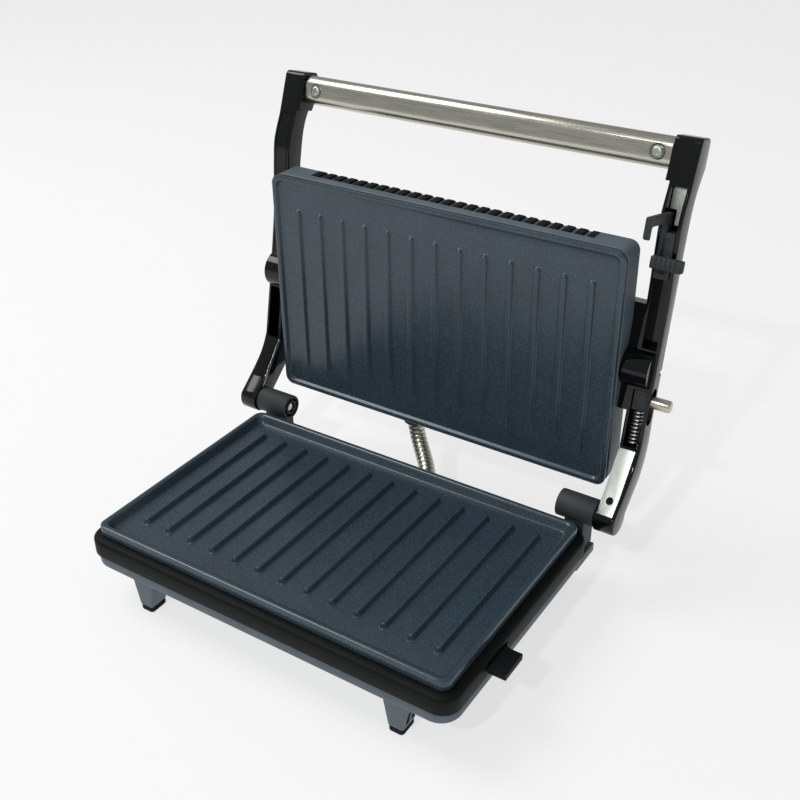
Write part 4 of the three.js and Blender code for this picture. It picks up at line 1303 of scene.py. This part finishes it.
# The shell is open below the strap, so that the steel shows.
window_near, window_far = strap_eye - 0.2 * mm, 14 * mm
window_end = 39 * mm
strap_window = along_strap(
    [(0.0, window_near), (0.0, window_far), (window_end, window_far), (window_end, window_near)]
)
right_cuts = [
    prism("strap_window", strap_window, arm_inner - mm, channel_outer, AT_ARMS),
    prism("slot", slot_outline, channel_outer - mm, arm_outer + mm, AT_ARMS),
    bar_x("recess", 1.8 * mm, arm_outer - 4 * mm, arm_outer + mm, -pivot_reach + 2 * mm, recess_rise),
]
right_arm = arm_shell(right_cuts)
right_arm.name = "right_arm"
left_arm = mirrored(arm_shell([]), "left_arm")
hand_in(right_arm, "arms", "gloss_black_arm", "arm_shell_right")
hand_in(left_arm, "arms", "gloss_black_arm", "arm_shell_left")

# %% Cover strip in the left arm's channel
strip_inner, strip_outer = channel_inner + gap, channel_outer - gap
strip = prism("strip", arm_outline(), strip_inner, strip_outer, AT_ARMS, 0.2 * mm, 1)
above = prism("above", lowered(arm_outline(), -1.6 * mm), channel_inner, channel_outer, AT_ARMS)
low = (channel_inner, gap - track_end, below_all)
high = (channel_outer, -track_start - gap, handle_rise - 4 * mm)
strip = trimmed(carved(strip, above), slab("room", low, high, AT_ARMS))
strip = mirrored(strip, "left_channel_strip")
hand_in(strip, "arms", "gloss_black_arm", "arm_cover_left")

# %% Hinge straps
strap = prism("right_strap", leaf_outline(0), strap_low.x, strap_high.x, AT_ARMS, 0.3 * mm, 2)
eye = bar_x("eye", strap_eye, strap_low.x, strap_high.x, 0, 0)
bore = bar_x("bore", pin_bore, strap_low.x - mm, strap_high.x + mm, 0, 0)
hole = bar_z("hole", 2.1 * mm, -20 * mm, 20 * mm, (strap_low.x + strap_high.x) / 2, -10 * mm)
strap = carved(joined(strap, eye), bore, hole)
hand_in_pair(strap, "arms", "satin_steel", "hinge_strap_right")

# %% A thin black cover hides the left strap
cover_near, cover_far = strap_eye + 0.15 * mm, strap_eye + 1.1 * mm
cover_start, cover_end = 7 * mm, 39.5 * mm
cover_outline = along_strap(
    [
        (cover_start, cover_near),
        (cover_start, cover_far),
        (cover_end, cover_far),
        (cover_end, cover_near),
    ]
)
cover_inner, cover_outer = arm_inner + 0.2 * mm, channel_outer - 0.2 * mm
strap_cover = prism("strap_cover", cover_outline, cover_inner, cover_outer, AT_ARMS, 0.3 * mm, 2)
hand_in(mirrored(strap_cover, "left_strap_cover"), "arms", "gloss_black_arm")

# %% [markdown]
# ## Handle
# The handle is a drawn stainless tube with an oval section. A dimple is pressed into its underside near each
# end, and a pan-head screw with a cross recess sits in it.

# %% Handle tube
screw_places = {}
for name in ("handle_screw_right", "handle_screw_left"):
    low, high = span(name, AT_ARMS)
    screw_places[name] = ((low.x + high.x) / 2, (low.y + high.y) / 2, low.z, high.z)

tube_corner = 5.6 * mm
tube_wall = 2 * mm
handle = prism("handle", handle_outline(0, tube_corner, 10), -tube_end, tube_end, AT_ARMS, 0.5 * mm)
inner_section = handle_outline(tube_wall, tube_corner - tube_wall, 10)
handle_bore = prism("bore", inner_section, -tube_end - mm, tube_end + mm, AT_ARMS)
tube_bottom = handle_rise - handle_thick / 2
pressed = [(-1.5, 5.6), (0.0, 4.5), (0.9, 3.9), (1.3, 3.5)]
dimple = [(tube_bottom + rise * mm, radius * mm) for rise, radius in pressed]
dimples = []
for x, y, low, high in screw_places.values():
    dimples.append(turned("dimple", dimple, 0, 0, standing(AT_ARMS, x, y), 40))
    dimples.append(bar_z("through", screw_bore, tube_bottom - mm, handle_rise, x, y, 24))
handle = carved(handle, handle_bore, *dimples)
hand_in(handle, "arms", "brushed_stainless", "handle_tube")


# %% Screws with a cross recess
def pan_head(name, x, y, low, high):
    """A screw that points up, with its head below."""
    rounded = [(0.0, 0.6), (0.05, 1.5), (0.2, 2.2), (0.5, 2.75), (0.9, 3.0), (1.6, 3.0), (1.6, 1.5)]
    profile = [(low + along * mm, radius * mm) for along, radius in rounded]
    profile += [(high - 0.8 * mm, 1.5 * mm), (high, 0.6 * mm)]
    screw = turned(name, profile, 0, 0, standing(AT_ARMS, x, y), 32)
    slots = []
    for turn in (0, 90):
        at = AT_ARMS @ Matrix.Translation((x, y, low)) @ Matrix.Rotation(math.radians(turn + 20), 4, "Z")
        long, thin, deep = 1.7 * mm, 0.36 * mm, 0.9 * mm
        slots.append(slab("slot", (-long, -thin, -deep), (long, thin, deep), at, 0.1 * mm, 0.05 * mm))
    return carved(screw, joined(*slots))


for name, place in screw_places.items():
    hand_in(pan_head(name + "_pan_head", *place), "arms", "satin_steel", name)

# %% [markdown]
# ## Hinge
# Each barrel is a moulded sleeve on a post. Its inner end is hollow, with spokes between the rim and the eye
# of the pin. One spoke is a small rounded slab, and a geometry tree sets it round the axis.

# %% Hinge barrels
hinge_y = hinge.y - rim_middle.y
hinge_z = hinge.z - rim_middle.z
barrel_radius = 8 * mm
hollow = 5.5 * mm


def barrel_sleeve():
    """The round sleeve, with a ring-shaped hollow in its inner end."""
    low, high = barrel_low.x, barrel_high.x
    rim = 6.4 * mm
    profile = [
        (low + hollow, pin_bore),
        (low + 0.3 * mm, pin_bore),
        (low, pin_bore + 0.3 * mm),
        (low, 4.3 * mm),
        (low + 0.3 * mm, 4.6 * mm),
        (low + hollow, 4.8 * mm),
        (low + hollow, rim - 0.2 * mm),
        (low + 0.3 * mm, rim),
        (low, rim + 0.3 * mm),
        (low, barrel_radius - 0.7 * mm),
        (low + 0.2 * mm, barrel_radius - 0.2 * mm),
        (low + 0.7 * mm, barrel_radius),
        (high - 0.7 * mm, barrel_radius),
        (high - 0.2 * mm, barrel_radius - 0.2 * mm),
        (high, barrel_radius - 0.7 * mm),
        (high, pin_bore),
        (low + hollow, pin_bore),
    ]
    return turned("barrel", profile, hinge_y, hinge_z, AT_BASE, 64)


def barrel_post():
    """The post that carries the sleeve."""
    middle = (barrel_low.x + barrel_high.x) / 2
    foot = barrel_low.z
    near = plate_depth / 2 + 5.3 * mm
    far = hinge_y + barrel_radius
    outline = [
        (near, foot),
        (far, foot),
        (far, hinge_z),
        *arc(hinge_y, hinge_z, 7.4 * mm, 20, 160, 10),
        (near, hinge_z - 4 * mm),
    ]
    return prism("post", outline, middle - 6 * mm, middle + 6 * mm, AT_BASE, 0.6 * mm)


room = bar_x("room", 5 * mm, barrel_low.x, barrel_high.x, hinge_y, hinge_z, AT_BASE)
barrel = joined(barrel_sleeve(), carved(barrel_post(), room))
barrel.name = "barrel_right"
hand_in_pair(barrel, "base", "matte_black", "hinge_barrel_right")


# %% Spokes
def spoke_tree():
    """Sets spokes round an axis."""
    tree, given = shape_tree("ring_of_spokes", Count=7, Radius=5.5 * mm)
    ring = {"Vertices": given["Count"], "Radius": given["Radius"]}
    circle = add_node(tree, "GeometryNodeMeshCircle", ring).outputs[0]
    index = add_node(tree, "GeometryNodeInputIndex").outputs[0]
    share = arithmetic(tree, "DIVIDE", index, given["Count"])
    turn = add_node(tree, "ShaderNodeCombineXYZ", {"Z": arithmetic(tree, "MULTIPLY", share, 2 * math.pi)})
    spokes = {"Points": circle, "Instance": given["Geometry"], "Rotation": turn.outputs[0]}
    end_tree(tree, given, add_node(tree, "GeometryNodeInstanceOnPoints", spokes).outputs[0])
    return tree


one_spoke = slab("spokes_right", (-1.1 * mm, -0.55 * mm, 0), (1.1 * mm, 0.55 * mm, 4.4 * mm))
spokes = run_tree(one_spoke, spoke_tree(), finishes["matte_black"])
lay = Matrix.Translation((barrel_low.x + 0.8 * mm, hinge_y, hinge_z)) @ Matrix.Rotation(math.pi / 2, 4, "Y")
hand_in_pair(moved(spokes, AT_BASE @ lay), "base", "matte_black")

# %% Hinge pins
low, high = span("hinge_pin_right", AT_BASE)
domed = [(0.0, 1.6), (0.1, 2.3), (0.4, 2.8), (0.9, 3.0)]
inner_end = [(low.x + along * mm, radius * mm) for along, radius in domed]
outer_end = [(high.x - along * mm, radius * mm) for along, radius in reversed(domed)]
hinge_pin = turned("pin_right", [*inner_end, *outer_end], hinge_y, hinge_z, AT_BASE, 40)
hand_in_pair(hinge_pin, "base", "brushed_stainless", "hinge_pin_right")

# %% [markdown]
# ## Latch and release
# The hook is one moulded slider: a rail in the arm's channel, a plate that comes out of it and a claw. The
# thumb bar is below the channel. The release pin comes out of the arm's side. A coil spring pushes it back.

# %% Latch
hook_low, hook_high = span("latch_hook", AT_ARMS)
liner_low, liner_high = span("latch_liner", AT_ARMS)
thumb_low, thumb_high = span("latch_thumb_bar", AT_ARMS)
hook_plate = hook_low.x + 3 * mm
hook_back = hook_low.y
hook_face = hook_back + 5 * mm
rail_low = 5.6 * mm
rail_high = 15 * mm
rail_far = hook_face + 5 * mm
claw_far = hook_face + 6.5 * mm
claw_base = hook_low.z


def latch_slider():
    """The rail, the hook's plate and the groove along the rail's open side."""
    rail = slab("rail", (hook_low.x, rail_far, rail_low), (hook_high.x, hook_high.y, rail_high), AT_ARMS)
    outline = [
        (hook_back, claw_base + 0.8 * mm),
        (hook_back + 0.8 * mm, claw_base),
        (claw_far - 1.6 * mm, claw_base),
        (claw_far, claw_base + 1.4 * mm),
        (claw_far, claw_base + 3.5 * mm),
        (hook_face + 0.8 * mm, claw_base + 3.5 * mm),
        (hook_face, claw_base + 4.3 * mm),
        (hook_face, rail_low - 0.6 * mm),
        (hook_face + 0.6 * mm, rail_low),
        (rail_far + 1.5 * mm, rail_low),
        (rail_far + 1.5 * mm, rail_high - 3 * mm),
        (hook_back + 0.8 * mm, rail_high - 3 * mm),
        (hook_back, rail_high - 3.8 * mm),
    ]
    plate = prism("hook", outline, hook_low.x, hook_plate, AT_ARMS, 0.35 * mm)
    groove = slab(
        "groove",
        (hook_low.x + 2 * mm, rail_far + 3 * mm, rail_low - mm),
        (hook_high.x - 2 * mm, hook_high.y - 3 * mm, rail_low + 0.8 * mm),
        AT_ARMS,
    )
    return carved(joined(rail, plate), groove)


slider = latch_slider()
slider.name = "latch_slider"
hand_in(slider, "latch", "matte_black", "latch_hook")
thumb = slab("thumb_bar", thumb_low, thumb_high, AT_ARMS, 1.2 * mm, 0.8 * mm)
ridges = []
for k in range(5):
    x = thumb_low.x + 3 * mm + k * 2.6 * mm
    low = (x, thumb_low.y - mm, thumb_low.z - 0.4 * mm)
    ridges.append(slab("ridge", low, (x + 1 * mm, thumb_high.y + mm, thumb_low.z + 0.5 * mm), AT_ARMS))
hand_in(carved(thumb, *ridges), "latch", "matte_black", "latch_thumb_bar")

# %% Liner
liner = slab("liner", liner_low, liner_high, AT_ARMS, 0.5 * mm, 0.2 * mm)
notch_low = (liner_low.x - mm, hook_back - 1.5 * mm, liner_low.z - mm)
notch_high = (hook_plate + 1 * mm, liner_high.y + mm, liner_high.z + mm)
notch = slab("notch", notch_low, notch_high, AT_ARMS, 0.2 * mm, 0.1 * mm)
hand_in(carved(liner, notch), "arms", "satin_steel", "latch_liner")

# %% Release catch and pin
catch_low, catch_high = span("release_catch", AT_ARMS)
catch = slab("catch", catch_low, catch_high, AT_ARMS, 0.8 * mm, 0.5 * mm)
hand_in(catch, "release", "matte_black", "release_catch")
pin_profile = [
    (pin_low.x, 2.6 * mm),
    (pin_low.x + 0.6 * mm, pin_radius),
    (pin_high.x - 1.3 * mm, pin_radius),
    (pin_high.x - 0.5 * mm, pin_radius - 0.4 * mm),
    (pin_high.x - 0.1 * mm, pin_radius - 1.1 * mm),
    (pin_high.x, pin_radius - 1.6 * mm),
]
release_pin = turned("release_pin_round", pin_profile, -pin_reach, pin_rise, AT_ARMS, 48)
hand_in(release_pin, "release", "brushed_stainless", "release_pin")


# %% Coil spring
def coil(name, centre_x, centre_z, near, far, radius, wire, turns):
    """A coil of wire along the arm between two values of y."""
    steps = turns * 20
    rings = []
    for k in range(steps + 1):
        share = k / steps
        turn = share * turns * 2 * math.pi
        y = near + (far - near) * share
        out = Vector((math.cos(turn), 0, math.sin(turn)))
        middle = Vector((centre_x, y, centre_z)) + out * radius
        ring = []
        for s in range(8):
            bend = s / 8 * 2 * math.pi
            along = Vector((0, wire * math.sin(bend), 0))
            ring.append(tuple(middle + out * wire * math.cos(bend) + along))
        rings.append(ring)
    return loft(name, rings, AT_ARMS)


spring_low, spring_high = span("release_spring", AT_ARMS)
spring_x = (spring_low.x + spring_high.x) / 2
spring_z = (spring_low.z + spring_high.z) / 2
wire = 0.55 * mm
coil_radius = (spring_high.x - spring_low.x) / 2 - wire
coil_near, coil_far = spring_high.y - wire, spring_low.y + wire
spring = coil("coil_spring", spring_x, spring_z, coil_near, coil_far, coil_radius, wire, 9)
spring.data.materials.append(finishes["satin_steel"])
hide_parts("release_spring")
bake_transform(spring)

# %% [markdown]
# ## Conduit
# A stripwound steel hose carries the wires from the base to the lid. Its ribbed profile is swept along a soft
# curve in two lengths. The lower one runs from the base to the curve's middle, the upper one from there on to
# the lid. Neither length is attached to a body, so both stay where they are drawn.

# %% Conduit path
low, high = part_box("conduit_socket_base")
hose_start = Vector(((low.x + high.x) / 2, low.y, (low.z + high.z) / 2))
low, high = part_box("conduit_socket_lid")
hose_end = Vector(((low.x + high.x) / 2, (low.y + high.y) / 2, high.z))
hose_radius = 5.2 * mm
winding_height = 0.55
bend_start = hose_start + Vector((0, 22 * mm, 0))
bend_end = hose_end - Vector((0, 0, 24 * mm))


def hose_point(share):
    """A point of the conduit's curve, from 0 at the base to 1 at the lid."""
    rest = 1 - share
    return (
        hose_start * rest**3
        + bend_start * 3 * rest**2 * share
        + bend_end * 3 * rest * share**2
        + hose_end * share**3
    )


def hose_length(name, first, last, windings):
    """A stretch of hose: each winding is a low hump and a narrow groove."""
    top = winding_height
    hump = [(0.0, 0.0), (0.12, 0.45), (0.3, top), (0.7, top), (0.88, 0.45), (0.96, 0.0)]
    turns = [k / 28 * 2 * math.pi for k in range(28)]
    rings = []
    for winding in range(windings):
        for along, rise in hump:
            share = first + (last - first) * (winding + along) / windings
            middle = hose_point(share)
            ahead = (hose_point(share + 0.01) - hose_point(share - 0.01)).normalized()
            side = ahead.cross(Vector((1, 0, 0))).normalized()
            other = ahead.cross(side)
            radius = hose_radius - winding_height * mm + rise * mm
            spokes = [side * math.cos(turn) + other * math.sin(turn) for turn in turns]
            rings.append([tuple(middle + radius * spoke) for spoke in spokes])
    return loft(name, rings)


# %% Two lengths of hose
hose_middle = hose_point(0.5)
lower_hose = hose_length("lower_hose", 0.0, 0.5, 10)
upper_hose = hose_length("upper_hose", 0.5, 1.0, 10)
for piece, bodies, start, end in (
    (lower_hose, ("base", "arms"), hose_start, hose_middle),
    (upper_hose, ("arms", "lid"), hose_middle, hose_end),
):
    piece.data.materials.append(finishes["brushed_stainless"])
    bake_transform(piece)
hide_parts("conduit")


# %% Sockets and gland
def collar(name, length, inner, outer, place):
    """A moulded ring with a rounded outer end, along X from the place's origin."""
    round_off = 0.7 * mm
    profile = [
        (0.0, inner),
        (0.0, outer),
        (length - round_off, outer),
        (length - 0.2 * mm, outer - 0.2 * mm),
        (length, outer - round_off),
        (length, inner + 0.3 * mm),
        (length - 0.3 * mm, inner),
        (0.0, inner),
    ]
    return turned(name, profile, 0, 0, place, 48)


socket_size = {"length": 4 * mm, "inner": 5.7 * mm, "outer": 7.4 * mm}
back_wall = Matrix.Translation(hose_start) @ Matrix.Rotation(math.pi / 2, 4, "Z")
lid_wall_place = Matrix.Translation(hose_end) @ Matrix.Rotation(math.pi / 2, 4, "Y")
base_socket = collar("base_socket", place=back_wall, **socket_size)
lid_socket = collar("lid_socket", place=lid_wall_place, **socket_size)
hand_in(base_socket, "base", "matte_black", "conduit_socket_base")
hand_in(lid_socket, "lid", "matte_black", "conduit_socket_lid")

low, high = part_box("inlet_gland")
gland_foot = Matrix.Translation(((low.x + high.x) / 2, low.y, (low.z + high.z) / 2))
gland_place = gland_foot @ Matrix.Rotation(math.pi / 2, 4, "Z")
gland_profile = [(0.0, 2.6), (0.0, 5.6), (0.3, 6.0), (3.6, 6.0), (4.0, 5.6), (4.0, 4.4), (4.6, 4.4)]
for k in range(4):
    gland_profile += [(5.0 + 2.2 * k, 3.7), (5.8 + 2.2 * k, 4.4 - 0.2 * k)]
gland_profile += [(14.0, 3.6), (14.0, 2.6), (0.0, 2.6)]
gland = turned("gland", [(x * mm, radius * mm) for x, radius in gland_profile], 0, 0, gland_place, 40)
hand_in(gland, "base", "matte_black", "inlet_gland")

# %% [markdown]
# ## Inside parts
# Heating elements, reflectors, thermostat, fuse and terminal block keep their CAD shape. They only take their
# finish.

# %% Finishes of the inside parts
inside = {
    "lower_heating_element": "satin_steel",
    "upper_heating_element": "satin_steel",
    "lower_reflector": "satin_steel",
    "upper_reflector": "satin_steel",
    "thermal_fuse": "satin_steel",
    "thermostat": "white_ceramic",
    "terminal_block": "white_ceramic",
}
for name, slot in inside.items():
    frame["nodes"][name].material_slots[0].material = finishes[slot]
print("inside parts:", len(inside))

# %% [markdown]
# ## Light and floor
# A plain pale floor lies under the press. It glows faintly, so that it stays pale away from the lights. A
# large soft lamp stands on the left and a small one in front.

# %% Floor
floor_mesh = bpy.data.meshes.new("floor")
reach = 6.0
corners = [(x, y, 0) for x, y in rect(-reach, reach, -reach, reach)]
floor_mesh.from_pydata(corners, [], [(0, 1, 2, 3)])
floor = bpy.data.objects.new("floor", floor_mesh)
bpy.context.scene.collection.objects.link(floor)
floor_finish, _, floor_shader = new_finish("pale_floor")
floor_shader.inputs["Base Color"].default_value = colour("909090")
floor_shader.inputs["Roughness"].default_value = 0.95
floor_shader.inputs["Specular IOR Level"].default_value = 0.0
floor_shader.inputs["Emission Color"].default_value = colour("F0F0F0")
floor_shader.inputs["Emission Strength"].default_value = 0.77
floor_mesh.materials.append(floor_finish)

# %% Lights
world = bpy.data.worlds.new("studio")
bpy.context.scene.world = world
world.use_nodes = True
world.node_tree.nodes["Background"].inputs["Color"].default_value = colour("F4F6F8")
world.node_tree.nodes["Background"].inputs["Strength"].default_value = 0.4


def softbox(name, place, target, size, power):
    """A square lamp that looks at a point."""
    data = bpy.data.lights.new(name, "AREA")
    data.shape = "SQUARE"
    data.size = size
    data.energy = power
    lamp = bpy.data.objects.new(name, data)
    bpy.context.scene.collection.objects.link(lamp)
    look = (Vector(target) - Vector(place)).to_track_quat("-Z", "Y")
    lamp.matrix_world = Matrix.Translation(place) @ look.to_matrix().to_4x4()


softbox("key", (-1.0, -0.2, 1.5), (0, 0, 0.08), 0.9, 16)
softbox("front", (0.1, -1.5, 1.5), (0, 0, 0.1), 0.1, 13)
bpy.context.scene.view_settings.view_transform = "Standard"
